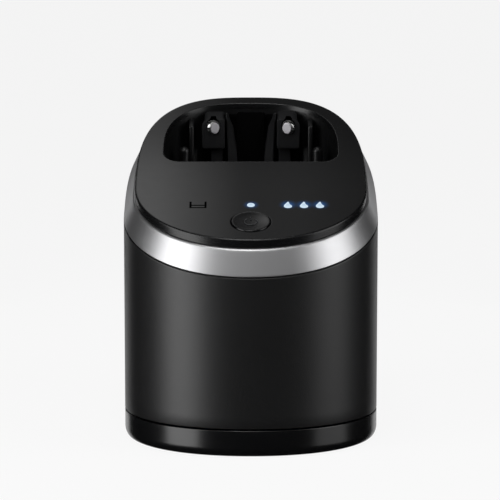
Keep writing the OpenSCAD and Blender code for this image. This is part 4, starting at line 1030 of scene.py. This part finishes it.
class STATION_OT_contacts(bpy.types.Operator):
    """Contact bracket with its two arms, the web between them, and the two contact pads."""

    bl_idname = "station.contacts"
    bl_label = "Contact arms"

    def arm(self, c, t):
        """The arm's head: its front outline carried backwards while its top rises with the panel's
        slope. The front face runs in from the outline to the pad's bore, which widens to a chamber
        behind. A keyhole over the bore narrows upwards and is sunk into the face. Gives the head and
        which of its faces are sunk."""
        slope = math.tan(t.panel_tilt)
        rise_at = plane(t.panel_level - 2, t.panel_tilt)
        top = float(rise_at(np.array([0, c.arm_front])))
        x_from, x_to, low = 14.15, 26.65, 141.2
        quarter = np.linspace(0, np.pi / 2, 10)
        corners = [(x_to - 4.5, top - 4.5, 4.5), (x_from + 1.6, top - 1.6, 1.6),
                   (x_from + 0.8, low + 0.8, 0.8), (x_to - 1.2, low + 1.2, 1.2)]
        loop = even_loop(np.vstack([
            np.stack([x + r * np.cos(quarter + i * np.pi / 2), z + r * np.sin(quarter + i * np.pi / 2)], -1)
            for i, (x, z, r) in enumerate(corners)]), 256)
        middle = np.array([c.pin_side, c.pin_level])
        out = (loop - middle) / np.linalg.norm(loop - middle, axis=1, keepdims=True)
        bore = middle + (c.pin_radius + 0.12) * out
        lift = smooth(c.pin_level + c.pin_radius, top - 1.0, loop[:, 1])
        keyhole = 3.4
        rows, sunk = [], []

        def row(edge, y):
            above = edge[:, 1] - middle[1]
            half = np.interp(above, [0, c.pin_radius, top - middle[1]], [3.7, 3.1, 1.6])
            depth = keyhole * smooth(0.2, 1.0, above)
            depth = depth * smooth(half + 0.3, half - 0.3, np.abs(edge[:, 0] - middle[0]))
            back = np.maximum(y, c.arm_front + depth)
            rows.append(np.stack([edge[:, 0], back, edge[:, 1] + lift * slope * (back - c.arm_front)], -1))
            # Faces deep in the keyhole, which take the painted shade of shadow_black
            sunk.append(depth > 0.35 * keyhole)

        chamber = middle + 4.2 * out
        row(chamber, c.arm_front + 5.4)
        row(chamber, c.arm_front + 2.5)
        row(bore, c.arm_front + 2.5)
        row(bore, c.arm_front + 0.25)
        row(middle + (bore - middle) * 1.06, c.arm_front)
        for s in (0.15, 0.3, 0.45, 0.6, 0.75, 0.88):
            row(bore + (grow(loop, -0.55) - bore) * s, c.arm_front)
        for a in np.linspace(0, np.pi / 2, 5):
            row(grow(loop, -0.55 * (1 - math.sin(a))), c.arm_front + 0.55 * (1 - math.cos(a)))
        face_rows = len(rows) - 1
        for y in np.linspace(c.arm_front + 1.5, c.arm_rear, 7):
            row(loop, y)
        head = shell(rows)
        dark = np.zeros(len(head[1]), bool)
        dark[:face_rows * 256] = np.array(sunk)[:face_rows].reshape(-1)
        return head, dark

    def fin(self):
        """A fin beside the tongue that widens downwards: its inner edge runs inwards as it falls."""
        level = np.array([100.0, 135.5, 138, 146, 153, 157, 160.2])
        inner = np.array([4.8, 4.8, 5.6, 8.2, 9.3, 11.3, 12.6])
        outer = np.interp(level, [100, 135, 161], [11.7, 11.7, 13.0])
        rows = []
        for z, a, b in zip(level, inner, outer):
            edge = even_loop(np.array([[a, 79.3], [b, 74.7], [b + 0.7, 75.2], [a + 0.9, 79.7]]), 48)
            rows.append(over(edge, z))
        return shell(rows)

    def pad(self, c, side):
        """A contact pad whose round face leans inwards. Each ring is an ellipse: its half width and
        height, its centre's distance inwards, and its depth with the slope of the depth inwards. A
        notch is sunk into the outer side. Gives the pad and which of its faces are the front face."""
        r = c.pin_radius
        rings = [(0.03, 0.04, 0.9, -1.66, 0.42), (1.3, 1.7, 0.9, -1.66, 0.42), (2.05, 2.75, 0.9, -1.66, 0.42),
                 (2.25, 3.0, 0.9, -1.62, 0.42), (2.45, 3.1, 0.75, -1.6, 0.40), (3.15, 3.22, 0.1, -1.3, 0.22),
                 (r, r, 0, -1.0, 0.15), (r, r, 0, 0.4, 0), (r, r, 0, 2.6, 0), (r + 0.6, r + 0.6, 0, 2.6, 0),
                 (r + 0.6, r + 0.6, 0, 3.7, 0), (r + 0.5, r + 0.5, 0, 3.8, 0)]
        angle = np.linspace(0, 2 * np.pi, 96, endpoint=False)
        rows = []
        for wide, tall, centre, depth, slope in rings:
            inwards, up = centre + wide * np.cos(angle), tall * np.sin(angle)
            notch = smooth(0.75, 0.4, np.abs(up + 0.3)) * smooth(-1.7, -2.0, inwards) * (depth < 0)
            y = c.arm_front + depth + slope * (inwards - centre) + 1.3 * notch
            rows.append(np.stack([side * (c.pin_side - inwards), y, c.pin_level + up], -1))
        pad = shell(rows)
        face = np.zeros(len(pad[1]), bool)
        face[:3 * 96] = True
        face[(len(rings) - 1) * 96:len(rings) * 96] = True
        return pad, face

    def execute(self, context):
        c, t = sizes("cavity"), sizes("top")
        floor = c.floor + c.wall + 0.02
        head, dark = self.arm(c, t)
        stem = slab(rounded_rectangle(15.15, 21.9, 77, 81.5, 0.7), floor, 141.7, 0.1)
        fin = self.fin()
        parts = [head, mirrored(head), stem, mirrored(stem), fin, mirrored(fin)]
        sunk = np.concatenate([dark, dark, *[np.zeros(len(faces), bool) for _, faces in parts[2:]]])
        # The keyhole's deep faces get painted shade as their second finish
        make_piece("contact_arms", parts, finish("arm_grain"), "housing",
                   ["contact_bracket"], sharp=38, trim=(finish("shadow_black"), sunk))
        rear_top = plane(t.panel_level - 3.5, t.panel_tilt)
        web = slab(rounded_rectangle(-26.6, 26.6, 79, 81.5, 0.8, 192), floor, rear_top, 0.4)
        middle = rounded_rectangle(-7.5, 7.5, floor, 160.6, 0.7, 160)
        tongue = shell([upright(grow(middle, -inset), y)
                        for inset, y in ((0.5, 79.6), (0, 79.2), (0, 77.9), (0.15, 77.5), (0.5, 77.3))])
        # The web and the tongue are painted near-black as painted shade
        make_piece("contact_web", [web, tongue], finish("shadow_black"), "housing",
                   ["contact_bracket"], sharp=38)
        for name, side in (("left", -1), ("right", 1)):
            pad, face = self.pad(c, side)
            make_piece("contact_pad_" + name, [pad], finish("contact_metal"), "contact_" + name,
                       ["contact_pin_" + name], sharp=30, trim=(finish("contact_face"), face))
        return {"FINISHED"}


class STATION_OT_dish(bpy.types.Operator):
    """Wash dish under the cavity, turned from its bowl's elliptic profile, with four ribs in the bowl and a
    hole over the drain under it.
    """

    bl_idname = "station.dish"
    bl_label = "Wash dish"

    def execute(self, context):
        c = sizes("cavity")
        rim, deep, wall = 96.4, 20.0, 1.8
        turn = np.linspace(0, np.pi / 2, 20)

        def bowl(extra):
            return [(8 + (17 + extra) * math.sin(a), rim - 4 - (deep - 4 + extra) * math.cos(a)) for a in turn]

        inner = bowl(0)
        outer = bowl(wall)
        floor = rim - deep
        profile = [(3.5, floor - wall), (3.5, floor - 0.4), (3.9, floor), *inner, (25, rim), (29, rim),
                   (29, rim - 2), (26.8, rim - 2), *outer[::-1]]
        run = np.linspace(5, 14, 12)
        level = np.interp(run, *np.transpose(inner)) + 0.25
        ribs = [tube(np.stack([np.cos(a) * run, c.dish_back + np.sin(a) * run, level], -1), 0.5, 10)
                for a in np.arange(4) * np.pi / 2 + np.pi / 4]
        bowl_skin = shell(circles(profile, (0, c.dish_back), 144), ring=True)
        make_piece("dish_bowl", [bowl_skin, *ribs], finish("dish_gloss"), "housing",
                   ["wash_dish"], sharp=40)
        return {"FINISHED"}


class STATION_OT_start_button(bpy.types.Operator):
    """Dished start button with its raised on-off symbol."""

    bl_idname = "station.start_button"
    bl_label = "Start button"

    def execute(self, context):
        k, t = sizes("controls"), sizes("top")
        r, proud, dish = k.button_radius, k.button_proud, k.button_dish
        ball = ((r - 0.8) ** 2 + dish ** 2) / (2 * dish)
        cap_low = -(t.panel_thickness + 0.2)
        hollow = [(x, proud - dish + ball - math.sqrt(ball ** 2 - x ** 2)) for x in np.linspace(0, r - 1.0, 14)]
        lip = [(r - 0.8, proud - 0.02), (r - 0.6, proud), (r - 0.35, proud - 0.04), (r - 0.12, proud - 0.18),
               (r, proud - 0.45)]
        flange = r + 1.6
        side = [(r, cap_low + 0.1), (r, cap_low - 0.1), (flange, cap_low - 0.1), (flange, cap_low - 1.3),
                (2.4, cap_low - 1.3), (2.4, -5.25), (0, -5.25)]
        stand = on_panel(0, -k.button_front)
        button = moved(turned([*hollow, *lip, *side], count=128), stand)
        make_piece("start_cap", [button], finish("button_gloss"), "start_button",
                   ["start_button"], sharp=40)
        level = proud - dish + 0.16
        arc = np.radians(np.linspace(125, 415, 72))
        ring = np.stack([3.25 * np.cos(arc), 3.25 * np.sin(arc), np.full(72, level)], -1)
        bar = np.stack([np.zeros(12), np.linspace(1.4, 3.9, 12), np.full(12, level)], -1)
        symbol = [moved(tube(path, 0.36, 12), stand) for path in (ring, bar)]
        make_piece("start_symbol", symbol, finish("button_symbol"), "start_button",
                   ["start_button"], sharp=60)
        return {"FINISHED"}


class STATION_OT_windows(bpy.types.Operator):
    """Lit dot, the three drops, and the dark cartridge mark."""

    bl_idname = "station.windows"
    bl_label = "Indicators"

    def execute(self, context):
        k = sizes("controls")
        spots = window_centres()
        guide_low = -9.7
        dome = [(0, guide_low), (k.dot_radius, guide_low), (k.dot_radius, -0.1)]
        dome += [(k.dot_radius * math.cos(a) ** 0.5, 0.03 + 0.16 * math.sin(a))
                 for a in np.linspace(0.1, np.pi / 2 - 0.02, 8)]
        dot = moved(turned([*dome, (0, 0.19)], count=64), on_panel(*spots[0]))
        make_piece("dot_window", [dot], finish("lit_window"), "housing",
                   ["dot_light_guide"], sharp=50)
        drops = [moved(slab(drop_outline(), guide_low, 0.16, 0.18, 0.1), on_panel(x, y)) for x, y in spots[1:]]
        make_piece("drop_windows", drops, finish("lit_window"), "housing",
                   ["drop_light_guides"], sharp=50)

        w, d, half = k.mark_width / 2, k.mark_depth / 2, 0.55
        bars = [(-w, -w + 2 * half, -d, d), (w - 2 * half, w, -d, d), (-w + half, w - half, -d, -d + 0.8),
                (-w + half, w - half, -d + 2.4, -d + 3.2)]
        stand = on_panel(-k.mark_from, -k.row_front)
        mark = [moved(slab(rounded_rectangle(*bar, 0.2, 48), -1.1, 0.09, 0.07, 0.05), stand) for bar in bars]
        make_piece("cartridge_symbol", mark, finish("dark_window"), "housing",
                   ["cartridge_mark"], sharp=50)
        return {"FINISHED"}


class STATION_OT_cartridge(bpy.types.Operator):
    """Fluid cartridge: the tub with its grip recess, and the lid with its two ports."""

    bl_idname = "station.cartridge"
    bl_label = "Fluid cartridge"

    def plan(self, inset=0.0):
        """The body's rear outline, cut off at the cartridge's sides, and a straight front with soft corners."""
        b = sizes("body")
        half, front = 50.0 - inset, CARTRIDGE_FRONT + inset
        reach = math.acos((half / b.half_width) ** (b.rear_round / 2))
        rear = body_outline(np.linspace(reach, np.pi - reach, 200), inset + 0.15)
        rear = rear[np.abs(rear[:, 0]) < half - 1.2]
        side_y = float(rear[0, 1]) - 1.6
        soft = 2.0
        quarter = np.linspace(0, np.pi / 2, 8)
        left = np.stack([-half + soft - soft * np.cos(quarter), front + soft - soft * np.sin(quarter)], -1)
        right = left[::-1] * (-1, 1)
        return even_loop(np.vstack([[[half, side_y]], rear, [[-half, side_y]], left, right]), 512)

    def execute(self, context):
        low, lid_low, lid_top = 14.5, 53.5, 56.5
        loop = self.plan()
        levels = np.unique(np.round(np.concatenate([
            np.linspace(low + 1.3, 22.6, 4), np.linspace(22.6, 24.6, 7), np.linspace(24.6, 37.4, 6),
            np.linspace(37.4, 39.4, 7), np.linspace(39.4, lid_low - 0.5, 6)]), 4))
        rows = [over(grow(loop, -1.3 * (1 - math.sin(a))), low + 1.3 * (1 - math.cos(a)))
                for a in np.linspace(0, np.pi / 2, 6)[:-1]]
        grip_level, grip_floor = 31.0, 91.5
        for z in levels:
            pocket = smooth(20.5, 19.5, np.abs(loop[:, 0])) * smooth(8.1, 7.1, abs(z - grip_level))
            pocket = pocket * (loop[:, 1] > 60)
            pushed = loop.copy()
            pushed[:, 1] -= pocket * (loop[:, 1] - grip_floor)
            rows.append(over(pushed, z))
        seam = lid_low - 0.12
        rows += [over(grow(loop, -0.3 * (1 - math.cos(a))), seam - 0.3 * (1 - math.sin(a)))
                 for a in np.linspace(0, np.pi / 2, 4)]
        tub = shell([*rows, over(grow(loop, -1.2), seam)])
        make_piece("cartridge_shell", [tub], finish("cartridge_blue"), "cartridge",
                   ["cartridge_tub"], sharp=40)
        suction = (-36, 40)
        holes = [circle(0, 51, 6.5, 72), circle(*suction, 2.9, 48)]
        parts = plate(loop, holes, lid_top, lid_low, 0.7, 0.4)
        stub = [(2.9, 19.5), (4.1, 19.5), (4.1, lid_low + 0.2), (2.9, lid_low + 0.2)]
        stub_skin = shell(circles(stub, suction, 48), ring=True)
        make_piece("cartridge_top", [*parts, stub_skin], finish("lid_blue"), "cartridge",
                   ["cartridge_lid"], sharp=40)
        return {"FINISHED"}


class STATION_OT_rear(bpy.types.Operator):
    """Pieces in the rear wall: the lift button, and the power inlet with its pins."""

    bl_idname = "station.rear"
    bl_label = "Rear pieces"

    def rear_y(self, x, inset):
        """The rear outline's y at each x: the rear depth times (1 - |x/width|^n)^(1/n)."""
        b = sizes("body")
        share = np.abs(x / (b.half_width - inset))
        return (b.rear_depth - inset) * (1 - share ** b.rear_round) ** (1 / b.rear_round)

    def execute(self, context):
        loop = rounded_rectangle(-13.7, 13.7, 63.3, 74.7, 1.2, 256)
        middle = np.array([0, KEY_LEVEL])

        def on_rear(edge, clear, sunk):
            return upright(edge, self.rear_y(edge[:, 0], clear) - sunk)

        rows = [upright(loop, 90.0)]
        for inset, sunk in ((0, 0.9), (0, 0.45), (0.08, 0.25), (0.3, 0.05), (0.6, 0.0)):
            rows.append(on_rear(grow(loop, -inset), 0.2, sunk))
        inner = grow(loop, -0.6)
        for s in np.linspace(0.04, 1, 26):
            edge = inner + (middle - inner) * min(s, 0.995)
            grip = 0.16 * np.cos(2 * np.pi * edge[:, 1] / 1.6) * smooth(0.1, 0.35, s)
            rows.append(on_rear(edge, 0.2, 1.1 * smooth(0, 0.75, s) + grip))
        make_piece("lift_key", [shell(rows)], finish("cavity_satin"), "lift_button",
                   ["lift_button"], sharp=60)

        block = rounded_rectangle(-11, 11, INLET_LEVEL - 6.5, INLET_LEVEL + 6.5, 0.5, 256)
        mouth = rounded_rectangle(-8.5, 8.5, INLET_LEVEL - 4.5, INLET_LEVEL + 4.5, 4.499, 256)
        rows = [upright(mouth, y) for y in (INLET_FLOOR, INLET_FLOOR + 0.2, 92.0, 98.2)]
        for a in np.linspace(0, np.pi / 2, 5)[1:]:
            rows.append(on_rear(grow(mouth, 0.6 * (1 - math.cos(a))), 0.3, 0.6 * (1 - math.sin(a))))
        for s in (0.3, 0.9):
            rows.append(on_rear(grow(mouth, 0.6) * (1 - s) + grow(block, -0.3) * s, 0.3, 0.0))
        for inset, sunk in ((0.25, 0.0), (0.05, 0.12), (0, 0.35)):
            rows.append(on_rear(grow(block, -inset), 0.3, sunk))
        rows.append(upright(block, 82.0))
        make_piece("power_socket", [shell(rows)], finish("cavity_satin"), "housing",
                   ["power_inlet"], sharp=40)
        tip = [(1.15 * math.cos(a), 7.9 + 0.6 * math.sin(a)) for a in np.linspace(0, np.pi / 2, 6)]
        blade = [(0, -6), (1.55, -6), (1.55, -0.02), (1.15, 0.0), *tip]
        pins = [moved(turned(blade, count=40), along_back(x, INLET_FLOOR, INLET_LEVEL)) for x in (-3.3, 3.3)]
        make_piece("inlet_pins_skin", pins, finish("contact_metal"), "housing",
                   ["inlet_pins"], sharp=40)
        return {"FINISHED"}


class STATION_OT_springs(bpy.types.Operator):
    """Coils of the lift springs, the contact springs and the lift button's spring."""

    bl_idname = "station.springs"
    bl_label = "Springs"

    def execute(self, context):
        c = sizes("cavity")
        steel = finish("spring_steel")
        for name, side in (("lift_coil_left", -1), ("lift_coil_right", 1)):
            shape = moved(coil(5.05, 1.1, 44.2, 9), lambda p: p + (GUIDE_X * side, GUIDE_Y, 14.2))
            piece = make_piece(name, [shape], steel, None, ["lift_springs"], sharp=60)
            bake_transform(piece)
        small = [moved(coil(3.45, 0.55, 1.8, 2.5, 10), along_back(side * c.pin_side, 78.5, c.pin_level))
                 for side in (-1, 1)]
        make_piece("contact_coils", small, steel, "housing", ["contact_springs"], sharp=60)
        key = moved(coil(2.6, 0.7, 5.7, 4.5, 10), along_back(0, 84.3, KEY_LEVEL))
        make_piece("lift_key_coil", [key], steel, "lift_button",
                   ["lift_button_spring"], sharp=60)
        return {"FINISHED"}


class STATION_OT_screws(bpy.types.Operator):
    """Screws with domed heads and a cross recess, in place of the plain ones."""

    bl_idname = "station.screws"
    bl_label = "Screws"

    def screw(self, length_, head_r=2.6, head_h=1.6, shaft_r=1.35):
        """A head whose height is a dome less a cross-shaped recess, over a shaft. It stands on z = 0
        with the shaft upwards and the head below."""
        angle = np.linspace(0, 2 * np.pi, 72, endpoint=False)
        rows = []
        for r in np.linspace(0.001, head_r - 0.25, 14):
            x, y = r * np.cos(angle), r * np.sin(angle)
            arm = np.maximum(smooth(0.42, 0.28, np.abs(x)) * smooth(1.65, 1.4, np.abs(y)),
                             smooth(0.42, 0.28, np.abs(y)) * smooth(1.65, 1.4, np.abs(x)))
            depth = head_h - 0.35 * (r / head_r) ** 2
            rows.append(np.stack([x, y, -depth + 0.9 * arm], -1))
        side = [(head_r - 0.08, -head_h * 0.66), (head_r, -head_h * 0.45), (head_r, 0.0), (shaft_r, 0.0),
                (shaft_r, length_ - 0.6), (shaft_r * 0.7, length_)]
        return shell([*rows, *circles(side, count=72)])

    def execute(self, context):
        zinc = finish("zinc_steel")
        up = lambda x, y, z: (lambda p: p + (x, y, z))
        down = lambda x, y, z: (lambda p: p * (1, -1, -1) + (x, y, z))
        seat = sizes("body").foot_out + 1.6
        base = [moved(self.screw(7), up(x, y, seat))
                for x, y in ((48, 26), (-48, 26), (22, -42), (-22, -42), (0, 84))]
        make_piece("base_screw_set", base, zinc, "base", ["base_screws"], sharp=40)
        cover = [moved(self.screw(12.5), up(x, y, 58.5))
                 for x, y in ((50, 20), (42, -24), (-50, 20), (-42, -24))]
        make_piece("cover_screw_set", cover, zinc, "housing", ["cover_screws"], sharp=40)
        low, high = 1000 * np.array(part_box("pump_screws"))
        head = 2.6
        xs = (low[0] + head, high[0] - head)
        ys = (low[1] + head - STATION_Y, high[1] - head - STATION_Y)
        pump = [moved(self.screw(18.7), down(x, y, 77.5)) for x in xs for y in ys]
        make_piece("pump_screw_set", pump, zinc, "housing", ["pump_screws"], sharp=40)
        board = [moved(moved(self.screw(5, 2.0, 1.0, 0.8), lambda p: p - (0, 0, 12.6)), on_panel(x, y))
                 for x, y in ((31, -14), (-31, -14), (22, -36), (-22, -36))]
        make_piece("board_screw_set", board, zinc, "housing", ["board_screws"], sharp=40)
        return {"FINISHED"}


# Finishes of the solids that are shown as they are
CARRIED = {
    "chassis_grain": ("base_plate", "chassis"),
    "ground_steel": ("guide_rods", "idler_pin", "motor_shaft"),
    "zinc_steel": ("latch_post", "latch_plate", "motor_bracket"),
    "filter_mesh": ("cartridge_filter",),
    "black_rubber": ("cover_gasket",),
    "brass_terminal": ("contact_terminals",),
    "grey_seal": ("dish_gasket", "nozzle_seals"),
    "dish_gloss": ("drain_spout",),
    "pump_grain": ("pump_housing", "pump_cover"),
    "acetal": ("pump_drive_gear", "pump_idler_gear"),
    "motor_can": ("pump_motor",),
    "milky_tube": ("suction_tube", "feed_tube"),
    "solder_mask": ("control_board",),
    "switch_black": ("start_switch",),
    "diode_case": ("status_leds",),
}


class STATION_OT_carried(bpy.types.Operator):
    """Finishes of the solids that are shown as they are."""

    bl_idname = "station.carried"
    bl_label = "Carried-over solids"

    def execute(self, context):
        for made, names in CARRIED.items():
            for name in names:
                mesh = NODES[name].data
                mesh.materials.clear()
                mesh.materials.append(finish(made))
        return {"FINISHED"}


def seen_directly(nodes, links, path):
    """1 for rays that come from the camera or through glass."""
    camera, glass = path.outputs["Is Camera Ray"], path.outputs["Is Transmission Ray"]
    return math_node(nodes, links, "MAXIMUM", camera, glass)


class STATION_OT_stage(bpy.types.Operator):
    """Camera, softboxes, two black flags, a graded card over the rear, pale floor and white background.
    Gloss sees the background only behind the object, and a dark room elsewhere."""

    bl_idname = "station.stage"
    bl_label = "Stage"

    def aimed(self, azimuth, rise, distance):
        """Place and turn of a card that faces the object from an azimuth, where 0 is the camera's side."""
        target = Vector((0, -0.01, 0.10))
        a, e = math.radians(azimuth), math.radians(rise)
        where = target + distance * Vector((math.sin(a) * math.cos(e), -math.cos(a) * math.cos(e), math.sin(e)))
        return where, (target - where).to_track_quat("-Z", "Y").to_euler()

    def lamp(self, name, azimuth, rise, distance, wide, tall, radiance):
        """A rectangular softbox. Its power is its radiance times pi times its area."""
        data = bpy.data.lights.new(name, "AREA")
        data.shape, data.size, data.size_y = "RECTANGLE", wide, tall
        data.energy = radiance * math.pi * wide * tall
        lamp = bpy.data.objects.new(name, data)
        lamp.location, lamp.rotation_euler = self.aimed(azimuth, rise, distance)
        lamp.visible_camera = False
        bpy.context.scene.collection.objects.link(lamp)

    def sheet(self, name, corners, material):
        """A flat four-cornered card or floor sheet, which is part of the stage."""
        mesh = bpy.data.meshes.new(name)
        mesh.from_pydata(corners, [], [(0, 1, 2, 3)])
        mesh.materials.append(material)
        card = bpy.data.objects.new(name, mesh)
        bpy.context.scene.collection.objects.link(card)
        return card

    def stage_material(self, name):
        material = bpy.data.materials.new(name)
        material.use_nodes = True
        nodes, links = material.node_tree.nodes, material.node_tree.links
        shader = next(n for n in nodes if n.type == "BSDF_PRINCIPLED")
        shader.inputs["Roughness"].default_value = 0.9
        shader.inputs["Specular IOR Level"].default_value = 0.1
        output = next(n for n in nodes if n.type == "OUTPUT_MATERIAL")
        return material, nodes, links, shader, output.inputs["Surface"]

    def paper(self, colour_):
        """Pale paper. The camera sees it nearly white. Behind the object it is that white in gloss and
        glass too. Round the object gloss sees past it, to the softboxes that reach below the set."""
        material, nodes, links, shader, surface = self.stage_material("studio_paper")
        shader.inputs["Base Color"].default_value = (*colour_, 1)
        white, clear = nodes.new("ShaderNodeEmission"), nodes.new("ShaderNodeBsdfTransparent")
        path, where = nodes.new("ShaderNodeLightPath"), nodes.new("ShaderNodeSeparateXYZ")
        links.new(nodes.new("ShaderNodeTexCoord").outputs["Object"], where.inputs[0])
        aside = math_node(nodes, links, "ABSOLUTE", where.outputs["X"])
        near_edge = math_node(nodes, links, "MULTIPLY_ADD", aside, 2.5, 0.35)
        near_edge = math_node(nodes, links, "MINIMUM", near_edge, 0.6)
        behind = math_node(nodes, links, "GREATER_THAN", where.outputs["Y"], near_edge)
        behind = math_node(nodes, links, "MULTIPLY", behind, math_node(nodes, links, "LESS_THAN", aside, 0.6))
        gloss = path.outputs["Is Glossy Ray"]
        seen = seen_directly(nodes, links, path)
        seen = math_node(nodes, links, "MAXIMUM", seen, math_node(nodes, links, "MULTIPLY", gloss, behind))
        mix, past = nodes.new("ShaderNodeMixShader"), nodes.new("ShaderNodeMixShader")
        links.new(math_node(nodes, links, "MULTIPLY", seen, 0.90), mix.inputs[0])
        links.new(shader.outputs[0], mix.inputs[1])
        links.new(white.outputs[0], mix.inputs[2])
        near = math_node(nodes, links, "SUBTRACT", gloss, math_node(nodes, links, "MULTIPLY", gloss, behind))
        links.new(math_node(nodes, links, "MAXIMUM", near, path.outputs["Is Shadow Ray"]), past.inputs[0])
        links.new(mix.outputs[0], past.inputs[1])
        links.new(clear.outputs[0], past.inputs[2])
        links.new(past.outputs[0], surface)
        return material

    def graded(self):
        """Card over the rear whose light falls from left to right, which the panel mirrors."""
        material, nodes, links, _, surface = self.stage_material("graded_card")
        where, ramp = nodes.new("ShaderNodeSeparateXYZ"), nodes.new("ShaderNodeValToRGB")
        links.new(nodes.new("ShaderNodeTexCoord").outputs["Object"], where.inputs[0])
        span = nodes.new("ShaderNodeMapRange")
        span.inputs["From Min"].default_value, span.inputs["From Max"].default_value = -0.12, 0.12
        links.new(where.outputs["X"], span.inputs["Value"])
        links.new(span.outputs["Result"], ramp.inputs["Fac"])
        stops = [(0.0, 0.95), (0.14, 0.9), (0.30, 0.50), (0.46, 0.20), (0.68, 0.21), (1.0, 0.09)]
        while len(ramp.color_ramp.elements) < len(stops):
            ramp.color_ramp.elements.new(0.5)
        for element, (at, level) in zip(ramp.color_ramp.elements, stops):
            element.position, element.color = at, (level, level, level, 1)
        glow, fall = nodes.new("ShaderNodeEmission"), nodes.new("ShaderNodeMapRange")
        links.new(where.outputs["Y"], fall.inputs["Value"])
        for label, value in (("From Min", 0.69), ("From Max", 0.72), ("To Min", 1.0), ("To Max", 0.4)):
            fall.inputs[label].default_value = value
        links.new(fall.outputs["Result"], glow.inputs["Strength"])
        links.new(ramp.outputs["Color"], glow.inputs["Color"])
        links.new(glow.outputs[0], surface)
        return material

    def execute(self, context):
        scene = context.scene
        s = scene.station_studio
        data = bpy.data.cameras.new("studio_camera")
        data.lens, data.sensor_width, data.sensor_fit = s.lens, 36.0, "HORIZONTAL"
        data.clip_start, data.clip_end = 0.05, 30
        camera = bpy.data.objects.new("studio_camera", data)
        back = Vector((0, -math.cos(s.rise), math.sin(s.rise)))
        camera.location = Vector((-s.aside, -0.0105, s.aim)) + s.distance * back
        camera.rotation_euler = (math.pi / 2 - s.rise, 0, 0)
        scene.collection.objects.link(camera)
        scene.camera = camera

        self.sheet("paper_floor", [(-4, -4, 0), (4, -4, 0), (4, 6, 0), (-4, 6, 0)], self.paper(s.paper))
        flag, _, _, shader, _ = self.stage_material("black_flag")
        shader.inputs["Base Color"].default_value = (0.02, 0.02, 0.02, 1)
        for side, name in ((-1, "left_flag"), (1, "right_flag")):
            near, far = (side * 0.21, 0.30), (side * 0.62, 4.0)
            card = self.sheet(name, [(*near, 0.002), (*far, 0.002), (*far, 0.8), (*near, 0.8)], flag)
            card.visible_camera = False
        corners = [(-0.3, 0.50, 1.12), (0.3, 0.50, 1.12), (0.3, 0.95, 0.75), (-0.3, 0.95, 0.75)]
        card = self.sheet("graded_card", corners, self.graded())
        card.visible_camera = False

        self.lamp("left_softbox", -54.5, 9, 0.85, 0.52, 1.15, s.left)
        self.lamp("right_softbox_low", 67, -9, 0.85, 0.52, 0.48, s.right_low)
        self.lamp("right_softbox_high", 67, 25.5, 0.87, 0.52, 0.66, s.right_high)
        self.lamp("front_fill", 0, 44, 1.7, 1.2, 0.8, s.front)
        self.lamp("overhead_lamp", 0, 88, 1.1, 0.35, 0.30, s.overhead)
        self.lamp("edge_strip", -8, 64, 1.1, 0.30, 0.34, s.edge)

        world = bpy.data.worlds.new("studio_world")
        world.use_nodes = True
        nodes, links = world.node_tree.nodes, world.node_tree.links
        ground = next(n for n in nodes if n.type == "BACKGROUND")
        ground.inputs["Color"].default_value = (s.room, s.room, s.room, 1)
        white = nodes.new("ShaderNodeBackground")
        path = nodes.new("ShaderNodeLightPath")
        mix = nodes.new("ShaderNodeMixShader")
        seen = seen_directly(nodes, links, path)
        way = nodes.new("ShaderNodeSeparateXYZ")
        links.new(nodes.new("ShaderNodeTexCoord").outputs["Generated"], way.inputs[0])
        behind = math_node(nodes, links, "GREATER_THAN", way.outputs["Y"], 0.8)
        behind = math_node(nodes, links, "MULTIPLY", behind, path.outputs["Is Glossy Ray"])
        links.new(math_node(nodes, links, "MAXIMUM", seen, behind), mix.inputs[0])
        links.new(ground.outputs[0], mix.inputs[1])
        links.new(white.outputs[0], mix.inputs[2])
        links.new(mix.outputs[0], next(n for n in nodes if n.type == "OUTPUT_WORLD").inputs["Surface"])
        scene.world = world
        scene.view_settings.view_transform = "Standard"
        return {"FINISHED"}


OPERATORS = [STATION_OT_base, STATION_OT_housing, STATION_OT_ring, STATION_OT_cover, STATION_OT_cavity,
             STATION_OT_contacts, STATION_OT_dish, STATION_OT_start_button, STATION_OT_windows,
             STATION_OT_cartridge, STATION_OT_rear, STATION_OT_springs, STATION_OT_screws, STATION_OT_carried,
             STATION_OT_stage]


class STATION_PT_panel(bpy.types.Panel):
    """Lists the settings and the operators in the sidebar."""

    bl_idname = "STATION_PT_panel"
    bl_label = "Cleaning station"
    bl_space_type = "VIEW_3D"
    bl_region_type = "UI"
    bl_category = "Station"

    def draw(self, context):
        for name in SETTINGS:
            box = self.layout.box()
            box.label(text=name.replace("station_", "").capitalize())
            group = getattr(context.scene, name)
            for prop in group.bl_rna.properties:
                if prop.identifier not in {"rna_type", "name"}:
                    box.prop(group, prop.identifier)
        for operator in OPERATORS:
            self.layout.operator(operator.bl_idname)


def register():
    for cls in [*SETTINGS.values(), *OPERATORS, STATION_PT_panel]:
        bpy.utils.register_class(cls)
    for name, cls in SETTINGS.items():
        setattr(bpy.types.Scene, name, PointerProperty(type=cls))


def unregister():
    for name in SETTINGS:
        delattr(bpy.types.Scene, name)
    for cls in [STATION_PT_panel, *reversed(OPERATORS), *SETTINGS.values()]:
        bpy.utils.unregister_class(cls)


def main():
    register()
    for operator in OPERATORS:
        group, name = operator.bl_idname.split(".")
        getattr(getattr(bpy.ops, group), name)()


if __name__ == "__main__":
    main()
